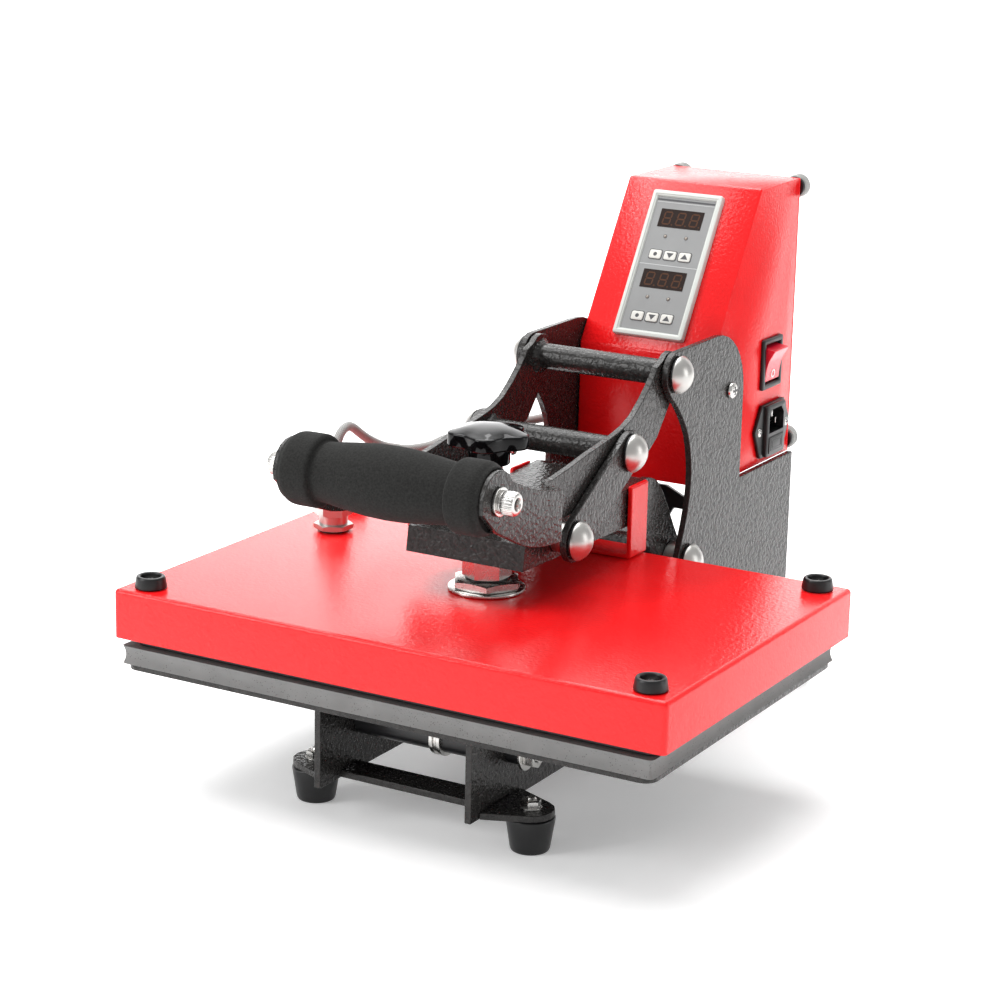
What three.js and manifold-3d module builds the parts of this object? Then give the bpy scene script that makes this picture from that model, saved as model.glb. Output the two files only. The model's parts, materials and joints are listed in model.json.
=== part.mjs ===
// Tabletop clam-shell transfer press: a welded steel stand, a lever and two links that swing an
// arm with the heated platen, and a slant-fronted control box. Millimetres, +Z up, +X to the
// operator's right, +Y to the back.
import * as THREE from 'three';
import { mergeVertices } from 'three/addons/utils/BufferGeometryUtils.js';
import Module from 'manifold-3d';

const wasm = await Module();
wasm.setup();

// ---------------------------------------------------------------- driving dimensions
const ORIGIN_Y = 218.25;          // middle of the machine, measured back from the cover's front
const GAP = 0.3;                 // between pieces that rest on each other
const SHEET = 4;                 // stand, lever, link and arm plate

const PIVOT = {                  // the four pivots of one side, as [y, z]
  lever: [252.8, 228],           // lever on the stand
  linkTop: [195.7, 192],         // link on the lever
  linkFoot: [131.2, 154.3],      // link on the arm
  arm: [277, 106],               // arm on the stand
};

const STAND = { outer: 51, front: 18.8, back: 428.4, bottom: 20.3, ledge: 144.5, top: 242 };
const FOOT = { x: 70.7, y: 50.5, rTop: 14, rBottom: 11.3, height: 20 };
const COVER = { w: 351.8, d: 238.4, bottom: 91.3, top: 120.2, bend: 3.5, wall: 1.5 };
const HEAT = { w: 334, y0: 8, y1: 230.4, z0: 86.3, z1: 102 };
const PAD = { x: -3.2, w: 341.5, y0: 3, y1: 238, z0: 75.5, z1: 86 };
const BASE = { x: -2.8, w: 338.5, y0: 4.5, y1: 237, z0: 72, z1: 75.2 };
const ARM = { half: 38.3, front: 92.7, webEnd: 244, wall: SHEET };
const POST_Y = 119.2;            // pressure screw and centre post, the middle of the cover
const SCREW_R = 8;
const LEVER = { inner: 42, lug: 62, lugBend: 84.3, plateBend: 104.3, barR: 8 };
const GRIP_AXIS = [16.3, 205.2];
const BOX = { half: 46.5, front: 310.5, bend: 226.5, topFront: 371.2, back: 428.5,
  bottom: 144.2, top: 324.1, wall: 1.2 };
const SLOPE = Math.atan2(BOX.top - BOX.bend, BOX.topFront - BOX.front);
const METER = { x: -0.2, s: 58.1, w: 48.6, h: 98.6 };   // panel meter, s is down the slope
const WINDOW = { x: -0.6, w: 30, h: 12.4, s: [27.2, 68.6] };
const KEY_X = [-10.9, -0.7, 9.5], KEY_S = [52.2, 94.1];
const SWITCH = { y: 395.4, z: 209.7 };
const INLET = { y: 398.4, z: 166 };
const THUMBSCREWS = [[42, 318], [-42, 318], [42, 151.5], [-42, 151.5]];   // [x, z]
const BOX_SCREW = [328.5, 204.3];
const GLAND = [-140, 172];
const LEAD = { r: 2.9, entry: [396, 169] };
const TIE = [62, 50];            // front tie bar, [y, z]

const headAt = STAND.outer + GAP;                       // under a head outside a side plate
const backFootY = STAND.front + STAND.back - FOOT.y;

// ---------------------------------------------------------------- materials
const material = (color, roughness, metalness) =>
  new THREE.MeshStandardMaterial({ color, roughness, metalness });
const redCoat = () => material(0xd8141c, 0.42, 0.1);
const hammered = () => material(0x4a4846, 0.45, 0.5);
const zinc = () => material(0xb9b8b4, 0.3, 0.9);
const nickel = () => material(0xc2bfba, 0.28, 0.95);
const rubber = () => material(0x1c1c1d, 0.75, 0);
const blackPlastic = () => material(0x151516, 0.35, 0);

// ---------------------------------------------------------------- solids
// Signed volume of an indexed triangle mesh: negative when its faces point inward.
function signedVolume(position, index) {
  let sum = 0;
  for (let i = 0; i < index.length; i += 3) {
    const [a, b, c] = [0, 1, 2].map((k) => new THREE.Vector3().fromArray(position, 3 * index[i + k]));
    sum += a.dot(b.cross(c));
  }
  return sum / 6;
}

// A closed geometry as a solid that can be joined and cut.
function solid(geometry) {
  const bare = geometry.clone();
  bare.deleteAttribute('normal');
  bare.deleteAttribute('uv');
  const welded = mergeVertices(bare, 1e-4);
  const index = Uint32Array.from(welded.index.array);
  const position = Float32Array.from(welded.attributes.position.array);
  if (signedVolume(position, index) < 0) index.reverse();
  return new wasm.Manifold(new wasm.Mesh({ numProp: 3, vertProperties: position, triVerts: index }));
}

function toGeometry(body) {
  const mesh = body.getMesh();
  const geometry = new THREE.BufferGeometry();
  geometry.setAttribute('position', new THREE.BufferAttribute(Float32Array.from(mesh.vertProperties), 3));
  geometry.setIndex(new THREE.BufferAttribute(Uint32Array.from(mesh.triVerts), 1));
  geometry.computeVertexNormals();
  return geometry;
}

const AXES = {                   // how a shape's own x, y and depth lie in the machine
  x: [[0, 1, 0], [0, 0, 1], [1, 0, 0]],      // outline (y, z), depth along X
  y: [[1, 0, 0], [0, 0, 1], [0, -1, 0]],     // outline (x, z), depth along -Y
  z: [[1, 0, 0], [0, 1, 0], [0, 0, 1]],      // outline (x, y), depth along Z
};

// A flat outline extruded along one axis, from `from` to `to`.
function slab(axis, shape, from, to, bevel = 0) {
  const geometry = new THREE.ExtrudeGeometry(shape, {
    depth: to - from - 2 * bevel, curveSegments: 4, bevelEnabled: bevel > 0, bevelSize: bevel,
    bevelThickness: bevel, bevelOffset: -bevel, bevelSegments: 2,
  });
  geometry.translate(0, 0, axis === 'y' ? -to + bevel : from + bevel);
  const basis = AXES[axis].map((v) => new THREE.Vector3(...v));
  return solid(geometry.applyMatrix4(new THREE.Matrix4().makeBasis(...basis)));
}

// Points along a round arc of an outline, ends included.
function arc(a, b, r, from, to, steps) {
  return Array.from({ length: steps + 1 }, (_, k) => {
    const t = from + ((to - from) * k) / steps;
    return [a + r * Math.cos(t), b + r * Math.sin(t)];
  });
}

// Points along a smooth curve through a few places on an outline.
function curve(places, steps) {
  const spline = new THREE.SplineCurve(places.map(([a, b]) => new THREE.Vector2(a, b)));
  return spline.getPoints(steps).map((p) => [p.x, p.y]);
}

const outline = (points) => new THREE.Shape(points.map(([a, b]) => new THREE.Vector2(a, b)));

function rectangle(a0, a1, b0, b1, r = 0) {
  const shape = new THREE.Shape();
  if (!r) return outline([[a0, b0], [a1, b0], [a1, b1], [a0, b1]]);
  shape.moveTo(a0 + r, b0).lineTo(a1 - r, b0).absarc(a1 - r, b0 + r, r, -Math.PI / 2, 0);
  shape.lineTo(a1, b1 - r).absarc(a1 - r, b1 - r, r, 0, Math.PI / 2);
  shape.lineTo(a0 + r, b1).absarc(a0 + r, b1 - r, r, Math.PI / 2, Math.PI);
  shape.lineTo(a0, b0 + r).absarc(a0 + r, b0 + r, r, Math.PI, 1.5 * Math.PI);
  return shape;
}

function block(x0, x1, y0, y1, z0, z1) {
  const geometry = new THREE.BoxGeometry(x1 - x0, y1 - y0, z1 - z0);
  return solid(geometry.translate((x0 + x1) / 2, (y0 + y1) / 2, (z0 + z1) / 2));
}

// A turned piece: the profile is [radius, height] pairs along the axis, from one end to the other.
function turned(axis, profile, [a, b] = [0, 0], segments = 14) {
  const geometry = new THREE.LatheGeometry(profile.map(([r, h]) => new THREE.Vector2(r, h)), segments);
  if (axis === 'x') geometry.rotateZ(-Math.PI / 2).translate(0, a, b);
  if (axis === 'y') geometry.translate(a, 0, b);
  if (axis === 'z') geometry.rotateX(Math.PI / 2).translate(a, b, 0);
  return solid(geometry);
}
const rod = (axis, r, from, to, at, segments) =>
  turned(axis, [[0, from], [r, from], [r, to], [0, to]], at, segments);
const hexNut = (axis, acrossFlats, from, to, at) =>
  rod(axis, acrossFlats / Math.sqrt(3), from, to, at, 6);

const join = (...bodies) => bodies.reduce((a, b) => a.add(b));
const cut = (body, ...tools) => tools.reduce((a, b) => a.subtract(b), body);

// The same solid on the other side of the machine's middle plane.
function mirrored(body) {
  return solid(toGeometry(body).scale(-1, 1, 1));
}

// ---------------------------------------------------------------- the model
const press = new THREE.Group();
press.position.y = -ORIGIN_Y;

function piece(name, body, look, at = [0, 0, 0], parent = press) {
  const mesh = new THREE.Mesh(toGeometry(body), look);
  mesh.name = name;
  mesh.position.set(...at);
  parent.add(mesh);
  return mesh;
}

function pair(name, body, look) {
  piece(`${name}_right`, body, look());
  piece(`${name}_left`, mirrored(body), look());
}

// A turned profile given from the middle plane outward, completed on the other side.
const bothWays = (half) => [...half.map(([r, x]) => [r, -x]).reverse(),
  ...half.filter(([, x]) => x > 0)];

// ---------------------------------------------------------------- stand
// One side plate: a low front rail under the platen, a throat that the arm swings through, a
// round head for the lever pivot and a step at the back that the control box overhangs.
function sidePlate() {
  const [ay, az] = PIVOT.lever;
  const throat = [[246, 215], [257, 205.5], [271, 186.7], [277, 162.6], [274.1, 139.2],
    [264.3, 113.6], [252, 88]];
  const s = outline([[STAND.front, STAND.bottom], [STAND.back, STAND.bottom],
    [STAND.back, STAND.ledge], [347.5, STAND.ledge], ...arc(307.5, 202, 40, 0, Math.PI / 2, 8),
    ...arc(ay, az, 13.8, Math.PI / 2, Math.PI * 1.15, 8), ...curve(throat, 18),
    [244, BASE.z0 - GAP], [STAND.front, BASE.z0 - GAP]]);
  const plate = slab('x', s, STAND.outer - SHEET, STAND.outer);
  const bores = [[PIVOT.lever, 5.3], [PIVOT.arm, 8.3], [BOX_SCREW, 2.8], [TIE, 4.3]]
    .map(([at, r]) => rod('x', r, STAND.outer - SHEET - 1, STAND.outer + 1, at, 12));
  const slots = [FOOT.y, backFootY].map((y) => slab('x',
    rectangle(y - 10.3, y + 10.3, STAND.bottom - 1, STAND.bottom + SHEET + GAP), 46, 52));
  return cut(plate, ...bores, ...slots);
}
pair('side_plate', sidePlate(), hammered);

// A foot bar: a narrow strip between the side plates that widens into a rounded ear outside each.
function footBar(y) {
  const x = FOOT.x, r = 13.5, half = 22.8, root = STAND.outer + GAP;
  const reach = x - root;
  const swing = Math.PI - Math.atan2(half, reach) - Math.acos(r / Math.hypot(half, reach));
  const ear = [[root, y - 10], [root, y - half], ...arc(x, y, r, -swing, swing, 6),
    [root, y + half], [root, y + 10]];
  const s = outline([...ear, ...ear.map(([ex, ey]) => [-ex, ey]).reverse()]);
  const holes = [-x, x].map((hx) => rod('z', 3.3, 15, 30, [hx, y], 10));
  return cut(slab('z', s, STAND.bottom, STAND.bottom + SHEET), ...holes);
}
piece('foot_bar_front', footBar(FOOT.y), hammered());
piece('foot_bar_back', footBar(backFootY), hammered());

// A moulded rubber foot with its stud and nut, which clamps the ear of the foot bar.
function foot() {
  const { rTop, rBottom, height } = FOOT;
  const rubberCup = turned('z', [[0, 0], [rBottom - 2, 0], [rBottom - 0.5, 0.7], [rBottom, 2.2],
    [rTop, height], [0, height]]);
  const stud = rod('z', 3, height - 1, 30.6, [0, 0], 8);
  return join(rubberCup, stud, hexNut('z', 10, 24.6, 29.4));
}
for (const [end, y] of [['front', FOOT.y], ['back', backFootY]]) {
  piece(`foot_${end}_right`, foot(), rubber(), [FOOT.x, y, 0]);
  piece(`foot_${end}_left`, foot(), rubber(), [-FOOT.x, y, 0]);
}

// The front tie: a bar between the side plates with a clamped collar, and a stud, spacer, washer
// and nut outside each.
const tieEnd = [[9, 0], [9, 46.7], [4, 46.7], [4, headAt], [7, headAt], [7, 60], [9.5, 60],
  [9.5, 62], [7.2, 62], [7.2, 68.5], [4, 68.5], [4, 70.5], [0, 70.5]];
piece('tie_bar_front', join(turned('x', bothWays(tieEnd), TIE, 12), rod('x', 11.5, 4, 11, TIE, 14)),
  material(0x1a1a1b, 0.5, 0.3));

// The back tie: a bent strip between the side plates, arched in the middle.
piece('tie_plate_back', slab('y', outline([[-46.7, 84], [-37, 84], [-31, 94.5], [31, 94.5], [37, 84],
  [46.7, 84], [46.7, 109.5], [37, 109.5], [24, 103.5], [-24, 103.5], [-37, 109.5], [-46.7, 109.5]]),
422, 425), material(0x161617, 0.5, 0.3));

// Lower platen: a plate with a rail under it, inside each side plate.
function lowerPlaten() {
  const { x, w, y0, y1, z0, z1 } = BASE;
  const plate = slab('z', rectangle(x - w / 2, x + w / 2, y0, y1, 8), z0, z1);
  const rails = [-1, 1].map((side) => block(side > 0 ? 31 : -46.7, side > 0 ? 46.7 : -31,
    80, 215, z0 - 3, z0 + 1));
  const webs = [-1, 1].map((side) => block(side > 0 ? 43.7 : -46.7, side > 0 ? 46.7 : -43.7,
    80, 215, z0 - 22, z0 - 1));
  return join(plate, ...rails, ...webs);
}
piece('lower_platen', lowerPlaten(), hammered());

// Silicone pad: its edge is hollow, so both lips stand out.
function siliconePad() {
  const { w, y0, y1, z0, z1 } = PAD;
  const left = PAD.x - w / 2, right = PAD.x + w / 2;
  const levels = [[z0, 0], [z0 + 3, 1.6], [z1 - 3, 1.6], [z1, 0]];
  const positions = [], index = [];
  const n = levels.length;
  for (const [z, inset] of levels) {
    for (const [x, y] of [[left + inset, y0 + inset], [right - inset, y0 + inset],
      [right - inset, y1 - inset], [left + inset, y1 - inset]]) positions.push(x, y, z);
  }
  for (let level = 0; level < n - 1; level++) {
    for (let k = 0; k < 4; k++) {
      const a = 4 * level + k, b = 4 * level + ((k + 1) % 4);
      index.push(a, b, b + 4, a, b + 4, a + 4);
    }
  }
  const top = 4 * (n - 1);
  index.push(0, 2, 1, 0, 3, 2, top, top + 1, top + 2, top, top + 2, top + 3);
  const geometry = new THREE.BufferGeometry();
  geometry.setAttribute('position', new THREE.Float32BufferAttribute(positions, 3));
  geometry.setIndex(index);
  return solid(geometry);
}
piece('silicone_pad', siliconePad(), material(0x77797a, 0.85, 0));

// ---------------------------------------------------------------- pivots
// Domed head with its washer, outward along X from the plate face at x.
const dome = (x) => [[11.2, x], [11.2, x + 1.7], [11.8, x + 2], [11.4, x + 3.7], [9, x + 6.6],
  [4.8, x + 8.5], [0, x + 9.2]];

// A shaft right through, with a domed head outside each side plate.
function throughShaft(r, at, collars) {
  return turned('x', bothWays([...collars, [r, headAt], ...dome(headAt)]), at);
}
piece('lever_shaft', throughShaft(5, PIVOT.lever, []), nickel());
piece('arm_shaft', throughShaft(8, PIVOT.arm, [[8, 38.7], [11, 38.7], [11, 46.6], [8, 46.6]]),
  nickel());

// ---------------------------------------------------------------- lever
// Lever plate: a side outline cut from a strip that steps outward to the grip lug at its front.
function leverPlate() {
  const [ay, az] = PIVOT.lever;
  const [gy, gz] = GRIP_AXIS;
  const upper = [[235.9, 234.7], [227.4, 225.2], [207.6, 210.6], [186, 204.3], [153.1, 199.8],
    [110.5, 193.5], [83.6, 196.5], [57.2, 202.4], [30.7, 213.1]];
  const lower = [[14.4, 188.7], [44.7, 174.1], [65.9, 168.7], [88.2, 166.6]];
  const s = outline([[105, 166.5], [150, 169.5], [192, 174.5], [216, 177.5], [238, 190.9],
    ...arc(ay, az, 13.5, -0.9, 2.4, 8), ...curve(upper, 16), ...arc(gy, gz, 16.6, 0.9, 3.4, 8),
    ...curve(lower, 7)]);
  const { inner, lug, lugBend, plateBend } = LEVER;
  const strip = outline([[inner, 280], [inner, plateBend], [lug, lugBend], [lug, -8],
    [lug + SHEET, -8], [lug + SHEET, lugBend + 1.7], [inner + SHEET, plateBend + 1.7],
    [inner + SHEET, 280]]);
  const plate = slab('x', s, inner - 2, lug + SHEET + 2).intersect(slab('z', strip, 150, 260));
  return cut(plate, rod('x', 4.3, lug - 1, lug + SHEET + 1, GRIP_AXIS, 10));
}

// Both lever plates, welded to a tube at the lever pivot and a tube at the link pivot.
function leverFrame() {
  const right = leverPlate();
  const bars = [PIVOT.lever, PIVOT.linkTop].map((at) => rod('x', LEVER.barR, -43, 43, at, 14));
  const bore = rod('x', 5.3, -60, 60, PIVOT.lever, 12);
  return cut(join(right, mirrored(right), ...bars), bore);
}
piece('lever_frame', leverFrame(), hammered());

// Grip rod between the lugs, drilled at each end for its screw.
const gripEnd = LEVER.lug - GAP;
piece('grip_rod', cut(rod('x', 11, -gripEnd, gripEnd, GRIP_AXIS, 14),
  rod('x', 4.3, 36, 70, GRIP_AXIS, 10), rod('x', 4.3, -70, -36, GRIP_AXIS, 10)), zinc());

// Foam grip: a collar at each end and a barrel that swells in the middle.
const gripHalf = [[18.9, 0], [18.3, 14], [17, 32], [17.2, 40], [19.8, 43], [20.5, 47],
  [20.5, 58], [19.4, 61], [11.4, 61]];
piece('foam_grip', turned('x', [...bothWays(gripHalf), [11.4, -61]], GRIP_AXIS, 16),
  material(0x2c2d2d, 0.95, 0));

// Socket screw with a washer and a spring washer.
function gripScrew() {
  const face = LEVER.lug + SHEET + GAP;
  const body = turned('x', [[0, 38], [4, 38], [4, face], [8, face], [8, face + 1.5],
    [6.4, face + 1.5], [6.4, face + 3.3], [5, face + 3.3], [5, face + 3.7], [6.5, face + 3.7],
    [6.5, face + 11], [0, face + 11]], GRIP_AXIS, 12);
  return cut(body, hexNut('x', 6, face + 7, face + 12, GRIP_AXIS));
}
pair('grip_screw', gripScrew(), zinc);

// ---------------------------------------------------------------- links
// A link: a plate with a round end about each of its two pivots.
function link() {
  const [by, bz] = PIVOT.linkTop, [cy, cz] = PIVOT.linkFoot;
  const side = Math.atan2(cz - bz, cy - by) - Math.PI / 2, r = 12.9;
  const s = outline([...arc(by, bz, r, side, side - Math.PI, 8),
    ...arc(cy, cz, r, side - Math.PI, side - 2 * Math.PI, 8)]);
  const plate = slab('x', s, STAND.outer - SHEET, STAND.outer);
  return cut(plate, ...[PIVOT.linkTop, PIVOT.linkFoot].map((at) => rod('x', 4.3, 46, 52, at, 10)));
}
pair('link', link(), hammered);

// The upper bolt rides in the link only; the lower one also carries a spacer beside the arm.
pair('link_bolt_top', turned('x', [[0, 46.6], [4, 46.6], [4, headAt], ...dome(headAt)],
  PIVOT.linkTop), nickel);
pair('link_bolt_foot', turned('x', [[0, 24], [4, 24], [4, 38.7], [8.5, 38.7], [8.5, 46.6],
  [4, 46.6], [4, headAt], ...dome(headAt)], PIVOT.linkFoot), nickel);

// ---------------------------------------------------------------- arm
// Arm: an inverted channel, closed at the front, whose cheeks drop at the back to the arm pivot.
function arm() {
  const [dy, dz] = PIVOT.arm;
  const { half, front, webEnd, wall } = ARM;
  const hump = [[289.6, 114.8], [282.2, 125.5], [270.2, 143.9], [262, 155], [254, 161.6],
    [webEnd, 164.8]];
  const s = outline([[front, 142.9], [222, 140], [238, 134.5], [252, 124.5], [260, 113],
    ...arc(dy, dz, 15.3, Math.PI * 0.97, Math.PI * 2.17, 9), ...curve(hump, 10),
    [front + 2.3, 157.8]]);
  const inside = outline([[front + wall, 80], [front + wall + 1.8, 157.8 - wall],
    [webEnd - 3, 164.7 - wall], [webEnd - 3, 190], [310, 190], [310, 80]]);
  const channel = cut(slab('x', s, -half, half), slab('x', inside, -half + wall, half - wall));
  const nut = rod('z', 14, 149.5, 157, [0, POST_Y], 14);
  const sleeve = rod('x', 12, -half + 1, half - 1, PIVOT.arm, 14);
  return cut(join(channel, nut, sleeve), rod('z', SCREW_R + 0.4, 140, 175, [0, POST_Y]),
    rod('x', 4.4, 23.6, 40, PIVOT.linkFoot, 10), rod('x', 4.4, -40, -23.6, PIVOT.linkFoot, 10),
    rod('x', 8.4, -60, 60, PIVOT.arm));
}
piece('arm', arm(), hammered());

// ---------------------------------------------------------------- pressure screw and upper platen
// Screw: runs in the nut of the arm and turns in the centre post.
piece('pressure_screw', turned('z', [[0, 124], [5, 124], [5, 142], [SCREW_R, 142],
  [SCREW_R, 203], [5, 203], [5, 212], [0, 212]], [0, POST_Y]), zinc());

// Knob: five lobes over a hub, with a shallow domed top.
function knob() {
  const lobes = 5, steps = 30, phase = 0.05;
  const rim = arc(0, 0, 1, 0, 2 * Math.PI, steps).slice(0, -1).map(([c, s], k) => {
    const r = 21.8 + 2.3 * Math.cos(lobes * ((k / steps) * 2 * Math.PI - phase));
    return [r * c, POST_Y + r * s];
  });
  const crown = turned('z', [[0, 200], [32, 200], [32, 212.9], [23, 213.6], [16, 215.6], [0, 217]],
    [0, POST_Y], 16);
  const hub = rod('z', 12, 194.5, 206, [0, POST_Y]);
  const bore = rod('z', SCREW_R + 0.4, 193, 203.4, [0, POST_Y], 14);
  const pocket = rod('z', 5.4, 203, 212.4, [0, POST_Y], 14);
  return cut(join(slab('z', outline(rim), 205.2, 222).intersect(crown), hub), bore, pocket);
}
piece('pressure_knob', knob(), blackPlastic());

// Cover: a folded tray, open below, with holes for the centre post and the cable gland.
function cover() {
  const { w, d, bottom, top, bend, wall } = COVER;
  const outer = slab('z', rectangle(-w / 2, w / 2, 0, d, 4), bottom - 8, top, bend);
  const below = block(-w, w, -d, 2 * d, bottom - 20, bottom);
  const hollow = slab('z', rectangle(-w / 2 + wall, w / 2 - wall, wall, d - wall),
    bottom - 1, top - wall);
  return cut(outer, below, hollow, rod('z', 12.1, 100, 130, [0, POST_Y]),
    rod('z', 8.4, 100, 130, GLAND));
}
piece('platen_cover', cover(), redCoat());

piece('heat_plate', slab('z', rectangle(-HEAT.w / 2, HEAT.w / 2, HEAT.y0, HEAT.y1, 6),
  HEAT.z0, HEAT.z1), material(0x3a3b3c, 0.4, 0.8));

// Centre post: a stud through the cover with a washer, a thin nut and a long hexagon above.
function centrePost() {
  const stud = rod('z', 11.7, HEAT.z1 + GAP, 123, [0, POST_Y]);
  const washer = rod('z', 22.5, 120.5, 122.3, [0, POST_Y], 22);
  const thinNut = hexNut('z', 36, 122, 127.3, [0, 0]);
  const hexagon = hexNut('z', 24.6, 127, 141.5, [0, 0]);
  const hexes = join(thinNut, hexagon).rotate([0, 0, 30]).translate([0, POST_Y, 0]);
  return cut(join(stud, washer, hexes), rod('z', 5.4, 123.7, 150, [0, POST_Y]));
}
piece('centre_post', centrePost(), zinc());

// Guide bracket: a U whose wings stand beside the arm and keep the platen square.
function guideBracket() {
  const shell = slab('y', rectangle(-42, 42, COVER.top + GAP, 165.3, 2), 216.5, 237.8);
  return cut(shell, slab('y', rectangle(-39, 39, COVER.top + GAP + 3, 170, 1.5), 210, 245));
}
piece('guide_bracket', guideBracket(), redCoat());

// Cable gland: stem through the cover, hexagon, round body and a domed hexagon nut.
function gland() {
  const top = COVER.top + GAP;
  const body = turned('z', [[0, 111], [8, 111], [8, top + 1], [10.2, top + 1], [10.2, top + 7.5],
    [9, top + 8.5], [9, top + 11], [9.9, top + 11], [9.9, top + 18.5], [8.5, top + 22.5],
    [5, top + 24.5], [0, top + 24.5]], GLAND, 12);
  const hexes = join(hexNut('z', 21.6, top, top + 5), hexNut('z', 20.6, top + 10, top + 17));
  return cut(join(body, hexes.translate([...GLAND, 0])), rod('z', 3.7, 108, 150, GLAND, 10));
}
piece('cable_gland', gland(), nickel());

// Rubber buffer: an open cup, wider at its foot.
function buffer() {
  return turned('z', [[0, 0], [9.3, 0], [8.5, 6.4], [8, 7], [6, 7], [5.6, 2.6], [0, 2.6]]);
}
for (const [end, y] of [['front', 13.8], ['back', 225]]) {
  for (const [side, x] of [['right', 159.5], ['left', -159.5]]) {
    piece(`buffer_${end}_${side}`, buffer(), rubber(), [x, y, COVER.top + GAP]);
  }
}

// ---------------------------------------------------------------- control box
// Shell: a folded skin with a slanted front, open at the back, cut for the meter, switch and inlet.
function boxProfile(inset, back) {
  const topLean = inset * Math.tan(SLOPE / 2), bendLean = inset * Math.tan((Math.PI / 2 - SLOPE) / 2);
  return outline([[BOX.front + inset, BOX.bottom + inset], [back, BOX.bottom + inset],
    [back, BOX.top - inset], [BOX.topFront + topLean, BOX.top - inset],
    [BOX.front + inset, BOX.bend - bendLean]]);
}
const panelPose = new THREE.Matrix4().makeRotationX(SLOPE).setPosition(0, BOX.topFront, BOX.top);
const onPanel = (body) => solid(toGeometry(body).applyMatrix4(panelPose));
function boxShell() {
  const { half, wall } = BOX;
  const skin = cut(slab('x', boxProfile(0, BOX.back), -half, half),
    slab('x', boxProfile(wall, BOX.back + 5), -half + wall, half - wall));
  const meterHole = onPanel(block(METER.x - 22.5, METER.x + 22.5, -METER.s - 46, -METER.s + 46,
    -8, 8));
  return cut(skin, meterHole,
    block(40, 50, SWITCH.y - 13, SWITCH.y + 13, SWITCH.z - 14.8, SWITCH.z + 14.8),
    block(40, 50, INLET.y - 13.8, INLET.y + 13.8, INLET.z - 16.8, INLET.z + 16.8),
    rod('x', 2.8, -50, 50, BOX_SCREW, 10),
    rod('x', LEAD.r + 0.35, -50, -40, LEAD.entry, 10));
}
piece('box_shell', boxShell(), redCoat());

piece('box_back', cut(slab('y', rectangle(-BOX.half, BOX.half, BOX.bottom, BOX.top),
  BOX.back + GAP, BOX.back + GAP + 1.5),
...THUMBSCREWS.map((at) => rod('y', 2.3, 420, 440, at, 10))), redCoat());

// Knurled thumbscrew with the rubber ring under its head.
function thumbscrew() {
  return turned('y', [[0, -9], [1.9, -9], [1.9, 0.2], [6.8, 0.2], [6.8, 2.6], [7.5, 3], [7.5, 9.4],
    [6.8, 10.2], [0, 10.2]]);
}
['top_right', 'top_left', 'low_right', 'low_left'].forEach((place, k) => {
  const [x, z] = THUMBSCREWS[k];
  piece(`thumbscrew_${place}`, thumbscrew(), zinc(), [x, BOX.back + GAP + 1.7, z]);
});

// Pan-head screw through the side plate into the box.
pair('box_screw', turned('x', [[0, 41], [2.5, 41], [2.5, headAt], [5.2, headAt],
  [4.8, headAt + 1.6], [2.6, headAt + 2.9], [0, headAt + 3.1]], BOX_SCREW), zinc);

// The panel meter lies in the slanted front: in this group x is across, y is up the slope and z
// stands out of the sheet.
const panel = new THREE.Group();
panel.position.set(0, BOX.topFront, BOX.top);
panel.rotation.x = SLOPE;
press.add(panel);

const meterBox = (w, h, z0, z1, r = 0) => slab('z', rectangle(METER.x - w / 2, METER.x + w / 2,
  -METER.s - h / 2, -METER.s + h / 2, r), z0, z1);
piece('meter_housing', cut(join(meterBox(METER.w, METER.h, GAP, 4.3, 1.5),
  meterBox(44.4, 91.4, -26, 1)), meterBox(41, 90.6, -30, 10)), material(0xc9cac6, 0.5, 0),
[0, 0, 0], panel);

const windowBox = (s, margin, z0, z1) => block(WINDOW.x - WINDOW.w / 2 - margin,
  WINDOW.x + WINDOW.w / 2 + margin, -s - WINDOW.h / 2 - margin, -s + WINDOW.h / 2 + margin, z0, z1);
const keyHoles = KEY_S.flatMap((s) => KEY_X.map((x) =>
  block(x - 4.45, x + 4.45, -s - 3.25, -s + 3.25, 0, 5)));
piece('meter_face', cut(meterBox(40.4, 90, 1.3, 2.8), ...keyHoles,
  ...WINDOW.s.map((s) => windowBox(s, GAP, 0, 5))), material(0x8d9092, 0.55, 0), [0, 0, 0], panel);
piece('display_board', join(meterBox(39.8, 88, -12, -10.4), ...WINDOW.s.map((s) =>
  windowBox(s, 0, -10.6, 2.1))), material(0x1d1311, 0.2, 0), [0, 0, 0], panel);

KEY_S.forEach((s, row) => KEY_X.forEach((x, column) => {
  const cap = block(-4.1, 4.1, -2.9, 2.9, -2, 3.5);
  const name = `key_${['temperature', 'time'][row]}_${['set', 'down', 'up'][column]}`;
  piece(name, cap, material(0xd6d4cc, 0.5, 0), [x, -s, 0], panel);
}));

// Rocker switch in the box's right side.
function switchHousing() {
  const { y, z } = SWITCH;
  const flange = slab('x', rectangle(y - 14.5, y + 14.5, z - 16.5, z + 16.5),
    BOX.half + GAP, BOX.half + 2.5);
  const body = block(26, BOX.half + 1, y - 12.7, y + 12.7, z - 14.5, z + 14.5);
  return cut(join(flange, body), block(31, 60, y - 10.8, y + 10.8, z - 13.5, z + 13.5));
}
piece('switch_housing', switchHousing(), blackPlastic());
piece('switch_rocker', slab('y', outline([[42, 198.4], [48.8, 198.1], [50.4, 207.5], [55, 219.6],
  [46, 221.3], [42, 221.2], [36, 215], [36, 204.5]]), SWITCH.y - 10.5, SWITCH.y + 10.5),
material(0xe2303a, 0.3, 0));

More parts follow.
